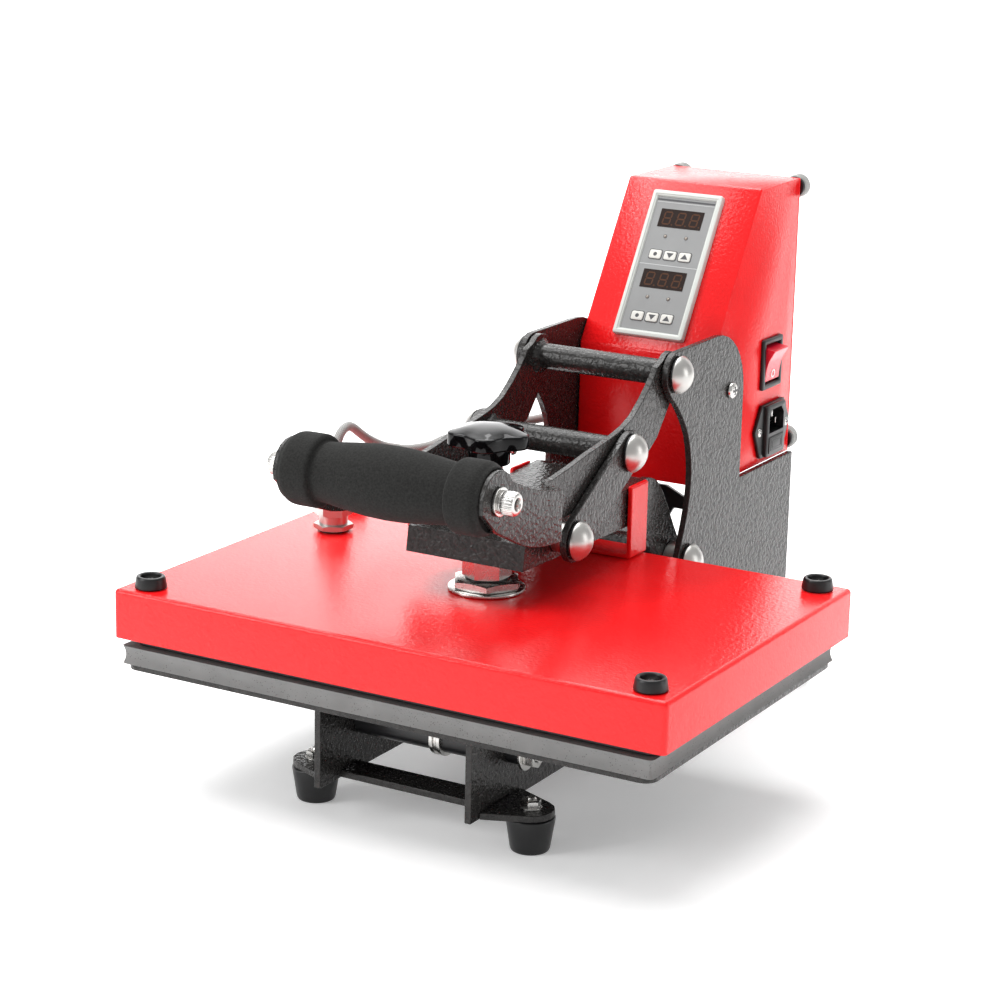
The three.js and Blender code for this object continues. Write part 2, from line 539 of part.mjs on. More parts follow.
// Mains inlet with its blades, and a fuse drawer below the socket.
function inlet() {
  const { y, z } = INLET;
  const flange = slab('x', outline([[y - 26.3, z + 1.5], [y - 18, z + 17.5], [y + 18, z + 17.5],
    [y + 26.3, z + 1.5], [y + 18, z - 17.5], [y - 18, z - 17.5]]), BOX.half + GAP, 48.6);
  const body = block(24, 48, y - 13.5, y + 13.5, z - 16.5, z + 16.5);
  const lip = slab('x', rectangle(y - 14, y + 14, z - 16.8, z + 17), 47, 52);
  const socket = slab('x', outline([[y - 12, z - 1.6], [y + 12, z - 1.6], [y + 12, z + 10],
    [y + 7.5, z + 14.7], [y - 7.5, z + 14.7], [y - 12, z + 10]]), 31, 55);
  const drawerWell = block(34, 60, y - 11.3, y + 11.3, z - 15.3, z - 3.7);
  const blades = [[0, 10.2], [-7, 4.5], [7, 4.5]].map(([dy, dz]) =>
    block(30, 46.5, y + dy - 1, y + dy + 1, z + dz - 2, z + dz + 2));
  const screwHeads = [-1, 1].map((side) => rod('x', 3, 48, 50, [y + 20 * side, z + 0.6], 12));
  return join(cut(join(flange, body, lip), socket, drawerWell), ...blades, ...screwHeads);
}
piece('mains_inlet', inlet(), blackPlastic());
piece('fuse_drawer', cut(block(34.5, 52.6, INLET.y - 11, INLET.y + 11, INLET.z - 15, INLET.z - 4),
  block(36, 50, INLET.y - 9, INLET.y + 9, INLET.z - 11, INLET.z)), blackPlastic());

// Relay that switches the heater, on the floor of the box.
piece('heater_relay', join(block(-38, -8, 330, 388, 146.5, 150), block(-36, -10, 334, 384, 149, 172)),
  material(0x2b2e35, 0.6, 0));

// ---------------------------------------------------------------- conduit
// Heater lead: rises from the gland, arches back beside the stand and enters the box's left side.
const leadPath = new THREE.CatmullRomCurve3([[-140, 172, 145.4], [-140, 172, 160], [-140, 173, 167.4],
  [-140.2, 176, 175], [-140.4, 180.8, 180.3], [-140.7, 187.3, 182.3], [-141, 194, 180.7],
  [-141.3, 204.8, 174], [-140.4, 212.6, 169.1], [-138, 223.7, 163.4], [-134, 231.9, 160.7],
  [-128, 239, 159.3], [-119, 250, 160.6], [-112.5, 259.5, 164.2], [-101, 285, 167],
  [-87, 325, 167], [-71, 365, 168], [-57, 391, 169], [-46.9, 396, 169]].map((p) => new THREE.Vector3(...p)), false, 'centripetal');
const leadSection = outline(arc(0, 0, LEAD.r, 0, 2 * Math.PI, 8).slice(0, -1));
piece('heater_lead', solid(new THREE.ExtrudeGeometry(leadSection, { steps: 32, extrudePath: leadPath })),
  material(0x8f9090, 0.6, 0.3));

export default press;
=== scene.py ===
"""Looks of the tabletop transfer press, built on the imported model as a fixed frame. +Z up, +X to the
operator's right, +Y to the back. Sizes are in millimetres and become metres as a mesh is made."""
import json
import math
from math import cos, pi, radians, sin

import bmesh
import bpy
from mathutils import Matrix, Vector, noise


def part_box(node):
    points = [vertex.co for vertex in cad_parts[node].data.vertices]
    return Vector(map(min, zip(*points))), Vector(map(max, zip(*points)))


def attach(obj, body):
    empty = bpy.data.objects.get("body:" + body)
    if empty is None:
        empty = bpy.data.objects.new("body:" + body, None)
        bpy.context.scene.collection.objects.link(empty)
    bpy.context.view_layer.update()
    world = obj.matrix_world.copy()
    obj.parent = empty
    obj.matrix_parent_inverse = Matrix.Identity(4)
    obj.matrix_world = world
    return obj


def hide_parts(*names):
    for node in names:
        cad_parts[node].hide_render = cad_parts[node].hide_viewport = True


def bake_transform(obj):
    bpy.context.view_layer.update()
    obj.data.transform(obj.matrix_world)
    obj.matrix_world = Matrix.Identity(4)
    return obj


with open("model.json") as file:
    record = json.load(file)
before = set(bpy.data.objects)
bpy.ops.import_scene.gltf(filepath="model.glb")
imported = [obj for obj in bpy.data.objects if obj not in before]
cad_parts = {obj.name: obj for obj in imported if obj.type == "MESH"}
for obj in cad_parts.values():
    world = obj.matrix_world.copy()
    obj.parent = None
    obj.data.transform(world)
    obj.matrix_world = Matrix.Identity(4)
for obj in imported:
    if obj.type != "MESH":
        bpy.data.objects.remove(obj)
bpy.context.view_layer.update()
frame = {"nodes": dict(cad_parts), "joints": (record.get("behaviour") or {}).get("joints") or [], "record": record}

MM = 0.001
BODY_OF = {node: body for body, nodes in frame["record"]["behaviour"]["bodies"].items() for node in nodes}
SIDES = (("right", 1), ("left", -1))
GAP = 0.3                     # between pieces that rest on each other
WASHER = 1.7                  # under a domed head
COLLAR = (38.7, 46.6)         # along a pivot, from the arm's wall to the side plate
LEVER_IN = 42.0               # inner face of a lever plate
SWITCH_DEPTH = 16             # of the switch's well and frame, in from the box's side
SOCKET_DEPTH = 15             # of the inlet's socket
AZIMUTH = radians(29.81)      # of the camera, and of the cove behind the press


# ---- places, from the frame
def box_mm(node):
    """Lowest and highest corner of a CAD node, in millimetres."""
    low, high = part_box(node)
    return low / MM, high / MM


def middle(node):
    low, high = box_mm(node)
    return (low + high) / 2


def four(kind, *ends):
    return [f"{kind}_{end}_{side}" for end in ends for side, _ in SIDES]


PIVOT = {j["name"]: Vector(j["pos_m"]) / MM for j in frame["joints"]}
LEVER_AT, ARM_AT, LINK_FOOT_AT = PIVOT["lever_swing"], PIVOT["arm_lift"], PIVOT["link_swing"]
LINK_TOP_AT = middle("link_bolt_top_right")
PLATE_IN, PLATE_OUT = (corner.x for corner in box_mm("side_plate_right"))
HEAD_AT = PLATE_OUT + GAP                            # under a bolt head
POST_AT = middle("centre_post")


# ---- materials
class Nodes:
    """Short way to build one material's node tree."""

    def __init__(self, name, colour, roughness, metallic=0.0, **sockets):
        self.material = bpy.data.materials.new(name)
        self.material.use_nodes = True
        self.tree = self.material.node_tree
        self.shader = self.tree.nodes["Principled BSDF"]
        self.place = self.add("ShaderNodeTexCoord").outputs["Object"]
        self.set("Base Color", (*colour, 1))
        self.set("Roughness", roughness)
        self.set("Metallic", metallic)
        for socket, value in sockets.items():
            self.set(socket.replace("_", " "), value)

    def add(self, kind, **properties):
        node = self.tree.nodes.new(kind)
        for key, value in properties.items():
            setattr(node, key, value)
        return node

    def set(self, socket, value):
        self.shader.inputs[socket].default_value = value

    def link(self, output, target):
        self.tree.links.new(output, target)

    def noise(self, scale, detail=2.0, roughness=0.5, distortion=0.0):
        node = self.add("ShaderNodeTexNoise")
        self.link(self.place, node.inputs["Vector"])
        for key, value in (("Scale", scale), ("Detail", detail), ("Roughness", roughness),
                           ("Distortion", distortion)):
            node.inputs[key].default_value = value
        return node.outputs["Fac"]

    def cells(self, scale):
        node = self.add("ShaderNodeTexVoronoi", feature="F1")
        self.link(self.place, node.inputs["Vector"])
        node.inputs["Scale"].default_value = scale
        return node.outputs["Distance"]

    def ramp(self, value, *stops):
        """Colour ramp: stops are (position, grey or colour)."""
        node = self.add("ShaderNodeValToRGB")
        self.link(value, node.inputs["Fac"])
        elements = node.color_ramp.elements
        while len(elements) < len(stops):
            elements.new(0.5)
        for element, (position, shade) in zip(elements, stops):
            element.position = position
            element.color = (*shade, 1) if isinstance(shade, tuple) else (shade, shade, shade, 1)
        return node.outputs["Color"]

    def combine(self, operation, a, b):
        node = self.add("ShaderNodeMath", operation=operation)
        for socket, value in zip(node.inputs, (a, b)):
            if isinstance(value, (int, float)):
                socket.default_value = value
            else:
                self.link(value, socket)
        return node.outputs["Value"]

    def bump(self, *layers):
        """Layers are (height, depth in mm, strength), each on top of the one before."""
        normal = None
        for height, depth, strength in layers:
            node = self.add("ShaderNodeBump")
            node.inputs["Distance"].default_value = depth * MM
            node.inputs["Strength"].default_value = strength
            self.link(height, node.inputs["Height"])
            if normal:
                self.link(normal, node.inputs["Normal"])
            normal = node.outputs["Normal"]
        self.link(normal, self.shader.inputs["Normal"])
        return self

    def colour(self, output):
        self.link(output, self.shader.inputs["Base Color"])
        return self

    def roughness(self, output):
        self.link(output, self.shader.inputs["Roughness"])
        return self


def shades(colour, spread):
    """A darker and a lighter shade of a colour."""
    return tuple(c * (1 - spread) for c in colour), tuple(min(1, c * (1 + spread)) for c in colour)


def red_coat():
    colour = (0.80, 0.008, 0.010)
    n = Nodes("red powder coat", colour, 0.22, Specular_IOR_Level=0.36)
    dark, light = shades(colour, 0.04)
    n.colour(n.ramp(n.noise(35, 3), (0.35, dark), (0.65, light)))
    return n.bump((n.noise(520, 1.5, 0.5, 0.3), 0.34, 0.75), (n.noise(1500, 1), 0.05, 0.4)).material


def hammertone():
    n = Nodes("hammertone paint", (0.022, 0.021, 0.020), 0.22, 0.0, IOR=1.38)
    pits = n.ramp(n.noise(400, 1.5, 0.45, 0.3), (0.36, 0.0), (0.60, 1.0))
    # colour darker in the pits and lighter on the mounds, broken by a random tone: painted shade in the hollows
    # and painted highlight on the mounds
    n.colour(n.ramp(n.combine("MULTIPLY", pits, n.noise(260, 1)), (0.05, (0.015, 0.014, 0.0135)),
                    (0.55, (0.028, 0.0265, 0.025))))
    n.roughness(n.ramp(pits, (0.0, 0.30), (1.0, 0.17)))
    return n.bump((pits, 0.24, 0.65), (n.noise(1300, 1), 0.04, 0.3)).material


def satin_nickel():
    n = Nodes("satin nickel", (0.50, 0.49, 0.47), 0.34, 1.0)
    n.roughness(n.ramp(n.noise(160, 4), (0.3, 0.31), (0.7, 0.38)))
    return n.bump((n.noise(2600, 2), 0.01, 0.5)).material


def zinc():
    n = Nodes("zinc plate", (0.60, 0.59, 0.57), 0.24, 1.0)
    n.roughness(n.ramp(n.noise(220, 4), (0.3, 0.19), (0.7, 0.31)))
    return n.bump((n.noise(900, 3), 0.02, 0.5)).material


def pad_silicone():
    base = (0.19, 0.19, 0.187)
    n = Nodes("foamed silicone", base, 0.8, Specular_IOR_Level=0.3)
    holes = n.ramp(n.cells(700), (0.10, 0.0), (0.26, 1.0))
    here = n.ramp(n.noise(90, 2), (0.42, 0.35), (0.62, 1.0))
    pore_patches = n.ramp(n.combine("MULTIPLY", n.noise(520, 1), here), (0.24, 1.0), (0.34, 0.0))
    pores = n.combine("MAXIMUM", holes, pore_patches)
    # the colour is multiplied down in the pores that the bump sinks: painted shade in these hollows, over a random
    # tone
    mix = n.add("ShaderNodeMix", data_type="RGBA", blend_type="MULTIPLY")
    mix.inputs["Factor"].default_value = 0.62
    dark, light = shades(base, 0.08)
    n.link(n.ramp(n.noise(60, 4), (0.3, dark), (0.7, light)), mix.inputs["A"])
    n.link(pores, mix.inputs["B"])
    n.colour(mix.outputs["Result"])
    return n.bump((pores, 0.3, 0.6), (n.noise(1500, 2), 0.08, 0.5)).material


def grip_foam():
    n = Nodes("foam grip", (0.016, 0.016, 0.0155), 0.95, Specular_IOR_Level=0.25)
    n.colour(n.ramp(n.noise(900, 3), (0.3, (0.011, 0.011, 0.0105)), (0.7, (0.022, 0.022, 0.021))))
    cells = n.ramp(n.cells(1500), (0.0, 0.0), (0.5, 1.0))
    return n.bump((cells, 0.12, 0.7), (n.noise(500, 3), 0.08, 0.4)).material


def plain(name, colour, roughness, *grain, **sockets):
    """One even colour. The grain's layers are (noise scale, detail, depth in mm, strength)."""
    n = Nodes(name, colour, roughness, **sockets)
    return n.bump(*((n.noise(scale, detail), depth, strength)
                    for scale, detail, depth, strength in grain)).material


def moulded(name, colour, roughness=0.45, grain=0.02, **sockets):
    """Plain moulded plastic with a fine grain."""
    n = Nodes(name, colour, roughness, **sockets)
    dark, light = shades(colour, 0.03)
    n.colour(n.ramp(n.noise(90, 3), (0.3, dark), (0.7, light)))
    return n.bump((n.noise(2400, 2), grain, 0.5)).material


def rocker_red():
    n = Nodes("translucent red", (0.80, 0.010, 0.035), 0.22, Subsurface_Weight=0.15, Subsurface_Scale=0.002,
              Specular_IOR_Level=0.9)
    n.colour(n.ramp(n.noise(140, 2), (0.3, (0.74, 0.008, 0.030)), (0.7, (0.86, 0.014, 0.045))))
    return n.bump((n.noise(300, 1), 0.03, 0.15)).material


def braided_sleeve():
    """Two crossed families of strands, wound along the lead's own length."""
    n = Nodes("braided sleeve", (0.30, 0.30, 0.29), 0.6, 0.1)
    uv = n.add("ShaderNodeUVMap", uv_map="lead").outputs["UV"]
    split = n.add("ShaderNodeSeparateXYZ")
    n.link(uv, split.inputs["Vector"])
    around, along = 24 * pi, 4200          # radians of a strand's wave per turn and per metre
    strands = []
    for sign in (1, -1):
        turn = n.combine("ADD", n.combine("MULTIPLY", split.outputs["X"], around),
                         n.combine("MULTIPLY", split.outputs["Y"], sign * along))
        strands.append(n.combine("SINE", turn, 0.0))
    weave = n.combine("MAXIMUM", *strands)
    # colour follows the weave's height, darker between the strands: painted shade in the gaps of the weave
    n.colour(n.ramp(n.combine("MULTIPLY_ADD", weave, 0.5), (0.2, (0.17, 0.17, 0.165)),
                    (0.8, (0.34, 0.34, 0.33))))
    return n.bump((weave, 0.12, 0.7)).material


RED, HAMMER = red_coat(), hammertone()
BLACK_PAINT = plain("black paint", (0.012, 0.012, 0.013), 0.32, (600, 2, 0.08, 0.4), metallic=0.1)
NICKEL, ZINC, FOAM, SILICONE = satin_nickel(), zinc(), grip_foam(), pad_silicone()
RUBBER = plain("black rubber", (0.007, 0.007, 0.0075), 0.34, (1100, 3, 0.03, 0.5), (120, 2, 0.05, 0.3),
               Specular_IOR_Level=0.4)
GLOSS = plain("gloss black plastic", (0.003, 0.003, 0.0034), 0.06, (110, 1, 0.05, 0.12),
              Specular_IOR_Level=0.22)
GRAINED = plain("moulded black plastic", (0.010, 0.010, 0.0105), 0.33, (2600, 2, 0.025, 0.5),
                Specular_IOR_Level=0.4)
COATED = plain("coated aluminium", (0.05, 0.05, 0.052), 0.35, (900, 3, 0.03, 0.5), metallic=0.6)
BRAID, ROCKER = braided_sleeve(), rocker_red()
BEZEL = moulded("meter bezel", (0.56, 0.58, 0.55), 0.42)
LABEL = moulded("meter label", (0.235, 0.238, 0.238), 0.5)
KNURL = moulded("worn knurl", (0.34, 0.34, 0.33), 0.5, 0.03, metallic=0.6)
PRINT = moulded("dark print", (0.05, 0.05, 0.055), 0.5)
PALE_PRINT = moulded("pale print", (0.5, 0.51, 0.51), 0.5)
KEY = moulded("key cap", (0.62, 0.61, 0.57), 0.45)
WINDOW = moulded("display window", (0.016, 0.008, 0.006), 0.3, 0.005, Specular_IOR_Level=0.2)
SEGMENT = moulded("unlit segment", (0.075, 0.034, 0.020), 0.6, Specular_IOR_Level=0.1)
LENS = moulded("lamp lens", (0.30, 0.26, 0.22), 0.25)
RELAY = moulded("relay case", (0.03, 0.033, 0.04), 0.5)
WHITE_MARK = moulded("white mark", (0.86, 0.84, 0.84), 0.4)


# ---- mesh tools
BASIS = {                    # how a piece's own (a, b, height) lie in the machine
    "+x": ((0, 1, 0), (0, 0, 1), (1, 0, 0)),
    "-x": ((0, -1, 0), (0, 0, 1), (-1, 0, 0)),
    "+y": ((-1, 0, 0), (0, 0, 1), (0, 1, 0)),
    "+z": ((1, 0, 0), (0, 1, 0), (0, 0, 1)),
}


def stand_at(axis, at):
    return Matrix.Translation(at) @ Matrix(BASIS[axis]).transposed().to_4x4()


ACROSS = stand_at("+x", Vector())


def outward(sign, at):
    """Place on the line across the machine through a point, with its height out to one side."""
    return stand_at("+x" if sign > 0 else "-x", Vector((0, at.y, at.z)))


def add_object(name, data):
    made = bpy.data.objects.new(name, data)
    bpy.context.scene.collection.objects.link(made)
    return made


def from_bmesh(name, bm, place=None, material=None):
    """An object from a bmesh in millimetres, which is used up."""
    bmesh.ops.recalc_face_normals(bm, faces=bm.faces)
    mesh = bpy.data.meshes.new(name)
    bm.to_mesh(mesh)
    bm.free()
    mesh.transform(Matrix.Scale(MM, 4) @ (place or Matrix()))
    if material:
        mesh.shade_smooth()
        mesh.materials.append(material)
    return add_object(name, mesh)


def make(name, bm, material, body, place=None, node=None, bevel=0.0, sharp=38):
    """A finished piece that rides on a body and may stand for a CAD node."""
    piece = from_bmesh(name, bm, place, material)
    if bevel:
        soften(piece, bevel)
    else:
        piece.data.set_sharp_from_angle(angle=radians(sharp))
    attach(piece, body)
    if node:
        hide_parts(node)
    return piece


def soften(piece, width):
    modifier = piece.modifiers.new("edges", "BEVEL")
    modifier.width = width * MM
    modifier.segments = 2
    modifier.limit_method = "ANGLE"
    modifier.angle_limit = radians(32)
    modifier.harden_normals = True
    modifier.use_clamp_overlap = False


def dress(node, material, bevel=0.35):
    """A piece with a CAD node's own shape and softened edges, which stands for that node."""
    mesh = frame["nodes"][node].data.copy()
    if "custom_normal" in mesh.attributes:
        mesh.attributes.remove(mesh.attributes["custom_normal"])
    mesh.shade_smooth()
    mesh.materials.clear()
    mesh.materials.append(material)
    piece = add_object(f"{node}_finished", mesh)
    weld = piece.modifiers.new("weld", "WELD")
    weld.merge_threshold = 0.00002
    flat = piece.modifiers.new("flat", "DECIMATE")
    flat.decimate_type = "DISSOLVE"
    flat.angle_limit = radians(0.8)
    soften(piece, bevel)
    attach(piece, BODY_OF[node])
    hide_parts(node)


def carve(piece, *cutters):
    """Cuts bmeshes out of a piece, and keeps only the finished mesh."""
    tools = [from_bmesh("cutter", cutter) for cutter in cutters]
    for tool in tools:
        modifier = piece.modifiers.new("carve", "BOOLEAN")
        modifier.object, modifier.operation, modifier.solver = tool, "DIFFERENCE", "EXACT"
    bpy.context.view_layer.update()
    evaluated = piece.evaluated_get(bpy.context.evaluated_depsgraph_get())
    finished = bpy.data.meshes.new_from_object(evaluated)
    piece.modifiers.clear()
    piece.data = finished
    finished.set_sharp_from_angle(angle=radians(38))
    for tool in tools:
        bpy.data.objects.remove(tool)


def eased(profile, radius=0.4, steps=3):
    """The profile with its inner corners rounded."""
    points = [Vector(p) for p in profile]
    out = [points[0]]
    for a, b, c in zip(points, points[1:], points[2:]):
        back, on = a - b, c - b
        reach = min(radius, back.length * 0.45, on.length * 0.45)
        if back.angle(on) > radians(168):
            out.append(b)
            continue
        start, end = b + back.normalized() * reach, b + on.normalized() * reach
        for k in range(steps + 1):
            t = k / steps
            out.append(start * (1 - t) ** 2 + b * 2 * t * (1 - t) + end * t * t)
    return [tuple(p) for p in out + [points[-1]]]


def oblong(x0, y0, x1, y1):
    return [(x0, y0), (x1, y0), (x1, y1), (x0, y1)]


def band(inner, outer, low, high, ease):
    """Profile of a plain ring or disc with eased edges."""
    return eased(oblong(inner, low, outer, high), ease)


def curved(points, steps=6):
    """A smooth curve through the points, ends included."""
    p = [Vector(q) for q in points]
    p = [2 * p[0] - p[1], *p, 2 * p[-1] - p[-2]]
    out = []
    for a, b, c, d in zip(p, p[1:], p[2:], p[3:]):
        for k in range(steps):
            t = k / steps
            out.append(0.5 * (2 * b + (c - a) * t + (2 * a - 5 * b + 4 * c - d) * t * t
                              + (3 * b - a - 3 * c + d) * t ** 3))
    return [tuple(q) for q in out + [p[-2]]]


def arc(centre, radius, start, end, steps=8):
    """Points of a round arc, angles in degrees."""
    return [(centre[0] + radius * cos(radians(start + (end - start) * k / steps)),
             centre[1] + radius * sin(radians(start + (end - start) * k / steps)))
            for k in range(steps + 1)]


def rounded(w, h, r, inset=0.0, steps=4, at=(0, 0)):
    """Corners of a rounded rectangle, all round."""
    x, y, q = w / 2 - inset, h / 2 - inset, max(r - inset, 0.05)
    corners = [(x - q, y - q, 0), (-x + q, y - q, 90), (-x + q, -y + q, 180), (x - q, -y + q, 270)]
    return [(at[0] + a, at[1] + b) for cx, cy, s in corners for a, b in arc((cx, cy), q, s, s + 90, steps)]


def stepped(w, h, r, levels, steps=4, at=(0, 0)):
    """Loops of a rounded rectangle. Levels are (how far it is drawn in, height)."""
    return [[(a, b, z) for a, b in rounded(w, h, r, inset, steps, at)] for inset, z in levels]


def strip(bm, a, b):
    """Faces between two loops of vertices."""
    for k in range(len(a)):
        j = (k + 1) % len(a)
        bm.faces.new((a[k], a[j], b[j], b[k]))


def rings(*loops, caps=True):
    """A bmesh skinned over loops of equal length, with its ends closed if it has caps."""
    bm = bmesh.new()
    made = [[bm.verts.new(p) for p in loop] for loop in loops]
    for a, b in zip(made, made[1:]):
        strip(bm, a, b)
    if caps:
        bm.faces.new(made[0])
        bm.faces.new(made[-1])
    return bm


def turned(profile, segments=48, wobble=None):
    """A bmesh turned about the height axis. The profile is (radius, height) pairs."""
    bm = bmesh.new()
    made = []
    for r, h in profile:
        if r < 1e-4:
            made.append([bm.verts.new((0, 0, h))])
            continue
        ring = []
        for k in range(segments):
            a = 2 * pi * k / segments
            q = r * (wobble(a, r, h) if wobble else 1)
            ring.append(bm.verts.new((q * cos(a), q * sin(a), h)))
        made.append(ring)
    for a, b in zip(made, made[1:]):
        if len(a) > 1 and len(b) > 1:
            strip(bm, a, b)
            continue
        for k in range(segments):
            j = (k + 1) % segments
            if len(b) > 1:
                bm.faces.new((a[0], b[j], b[k]))
            elif len(a) > 1:
                bm.faces.new((a[k], a[j], b[0]))
    for ring in (made[0], made[-1]):
        if len(ring) > 1:
            bm.faces.new(ring)
    return bm


def prism(outline, low, high):
    return rings([(a, b, low) for a, b in outline], [(a, b, high) for a, b in outline])


def hexagon(across):
    return [(across / math.sqrt(3) * cos(radians(60 * k)),
             across / math.sqrt(3) * sin(radians(60 * k))) for k in range(6)]


def nut(across, low, high, turn=0):
    """Hexagon whose corners are taken down a little at both ends."""
    flat, steps = across / 2, 8
    angles = [2 * pi * k / (6 * steps) for k in range(6 * steps)]
    edge = [flat / cos((a + pi / 6) % (pi / 3) - pi / 6) for a in angles]
    spin = [a + radians(turn) for a in angles]
    fall = [0.3 * (r - flat) for r in edge]
    inner = lambda z: [(flat * 0.97 * cos(a), flat * 0.97 * sin(a), z) for a in spin]
    outer = lambda z, sign: [(r * cos(a), r * sin(a), z + sign * (0.12 + f))
                             for r, a, f in zip(edge, spin, fall)]
    return rings(inner(low), outer(low, 1), outer(high, -1), inner(high))


def threads(radius, low, high, pitch=1.0, depth=0.35):
    """Profile points of a threaded length."""
    count = max(1, round((high - low) / pitch))
    out = []
    for k in range(count):
        h = low + (high - low) * k / count
        out += [(radius - depth, h), (radius, h + (high - low) / count / 2)]
    return out + [(radius - depth, high)]


def phillips_shade(size, depth, low):
    """Dark cross laid as a thin piece on a screw head: painted shade standing for a driver recess."""
    arm, width = size, size * 0.28
    cross = [(width, width), (arm, width), (arm, -width), (width, -width), (width, -arm), (-width, -arm),
             (-width, -width), (-arm, -width), (-arm, width), (-width, width), (-width, arm), (width, arm)]
    return prism(cross, low, low + depth)


def pan_head(radius, height, at=0.0):
    """Profile of a pan head from its seat up."""
    return [(0, at), (radius * 0.97, at), (radius, at + height * 0.2), (radius * 0.93, at + height * 0.55),
            (radius * 0.72, at + height * 0.85), (radius * 0.4, at + height * 0.98), (0, at + height)]


# ---- camera
def camera():
    """Three-quarter view from the operator's right."""
    elevation, roll = radians(15.19), radians(1.24)
    data = bpy.data.cameras.new("camera")
    data.sensor_width, data.lens = 36, 97.9
    view = add_object("camera", data)
    view.matrix_world = (Matrix.Translation((0.74694, -1.38942, 0.57773))
                         @ Matrix.Rotation(AZIMUTH, 4, "Z") @ Matrix.Rotation(pi / 2 - elevation, 4, "X")
                         @ Matrix.Rotation(roll, 4, "Z"))
    bpy.context.scene.camera = view


# ---- stand
def stand():
    for node in ("side_plate_right", "side_plate_left", "foot_bar_front", "foot_bar_back",
                 "lower_platen"):
        dress(node, HAMMER, 0.45)
    dress("tie_plate_back", BLACK_PAINT, 0.4)
    for node in four("foot", "front", "back"):
        foot(node)
    tie_bar()


def foot(node):
    low, high = box_mm(node)
    place = stand_at("+z", Vector(((low.x + high.x) / 2, (low.y + high.y) / 2, 0)))
    cup = eased([(0, 0.6), (8.2, 0.6), (8.8, 0), (10.6, 0), (11.3, 2), (14, 19.2), (13.4, 20), (0, 20)], 0.9)
    make(f"{node}_rubber", turned(cup, 56), RUBBER, "stand", place, node)
    make(f"{node}_nut", nut(10, 24.7, 29.0, 12), ZINC, "stand", place, sharp=30)
    make(f"{node}_stud", turned([(0, 20), *threads(3, 20, 30.0), (2.3, 30.6), (0, 30.6)], 32), ZINC,
         "stand", place)
    make(f"{node}_washer", turned(band(3.1, 6.2, 24.32, 25.1, 0.2), 40), ZINC, "stand", place)


def tie_bar():
    at, end = middle("tie_bar_front"), box_mm("tie_bar_front")[1].x
    seat, nut_at, stud_at = 60, 61.8, 66
    place = outward(1, at)
    bar = band(0, 9, -PLATE_IN + GAP, PLATE_IN - GAP, 0.5)
    make("tie_tube", turned(bar, 48), BLACK_PAINT, "stand", place, "tie_bar_front")
    ring = [(9.1, 4), (11.3, 4), (11.3, 6.3), (10.1, 6.6), (10.1, 8.4), (11.3, 8.7), (11.3, 11), (9.1, 11)]
    make("tie_collar", turned(eased(ring, 0.3), 48), ZINC, "stand", place)
    for side, sign in SIDES:
        place = outward(sign, at)
        spacer, washer = band(0, 7, HEAD_AT, seat, 0.3), band(0, 9.4, seat, nut_at, 0.3)
        make(f"tie_spacer_{side}", turned(spacer, 40), BLACK_PAINT, "stand", place)
        make(f"tie_washer_{side}", turned(washer, 40), ZINC, "stand", place)
        make(f"tie_nut_{side}", nut(12.6, nut_at, nut_at + 6.5, 8), ZINC, "stand", place, sharp=30)
        stud = [(0, stud_at), *threads(4, stud_at, end - 0.6), (0, end)]
        make(f"tie_stud_{side}", turned(stud, 32), ZINC, "stand", place)


def silicone_pad():
    """Die-cut slab whose edge is drawn in between its two lips."""
    low, high = box_mm("silicone_pad")
    centre, size = (low + high) / 2, high - low
    levels, steps = [], 12
    for k in range(steps + 1):
        t = k / steps
        lip = 0.35 * (abs(2 * t - 1) ** 10)
        levels.append((1.9 * sin(pi * t) ** 0.7 + lip, low.z + t * size.z))
    loops = stepped(size.x, size.y, 3.5, levels, 5, centre)
    pad = make("pressing_pad", rings(*loops), SILICONE, "stand", node="silicone_pad", sharp=50)


# ---- pivots
def dome(base, radius=11.7, height=7.4):
    """Profile of a round head: a spherical cap over a short rounded rim."""
    ball = (radius ** 2 + height ** 2) / (2 * height)
    spread = math.asin(radius / ball)
    cap = [(ball * sin(spread * k / 12), base + height - ball + ball * cos(spread * k / 12))
           for k in range(12, -1, -1)]
    return [(radius - 0.8, base), (radius - 0.2, base + 0.05), (cap[1][0] + 0.25, cap[1][1] - 0.3), *cap[2:]]


def washer_at(name, at, sign, body):
    profile = band(4.5, 11.1, HEAD_AT, HEAD_AT + WASHER, 0.35)
    make(name, turned(profile, 48), BLACK_PAINT, body, outward(sign, at))


def pivots():
    near, far = COLLAR
    head = dome(HEAD_AT + WASHER + 0.05)
    through = (("lever_shaft", LEVER_AT, 5, []),
               ("arm_shaft", ARM_AT, 8, [(8, near), (11, near), (11, far), (8, far)]))
    for name, at, radius, collars in through:
        half = [*collars, (radius, HEAD_AT + WASHER), *head]
        both = [(r, -h) for r, h in reversed(half)] + half
        make(f"{name}_domed", turned(both, 64), NICKEL, "stand", outward(1, at), name)
        for side, sign in SIDES:
            washer_at(f"{name}_washer_{side}", at, sign, "stand")
    single = (("link_bolt_top", LINK_TOP_AT, "links", [(0, far), (4, far)]),
              ("link_bolt_foot", LINK_FOOT_AT, "arm",
               [(0, 24), (4, 24), (4, near), (8.5, near), (8.5, far), (4, far)]))
    for name, at, body, shank in single:
        for side, sign in SIDES:
            make(f"{name}_domed_{side}", turned([*shank, (4, HEAD_AT + WASHER), *head], 64), NICKEL, body,
                 outward(sign, at), f"{name}_{side}")
            washer_at(f"{name}_washer_{side}", at, sign, body)


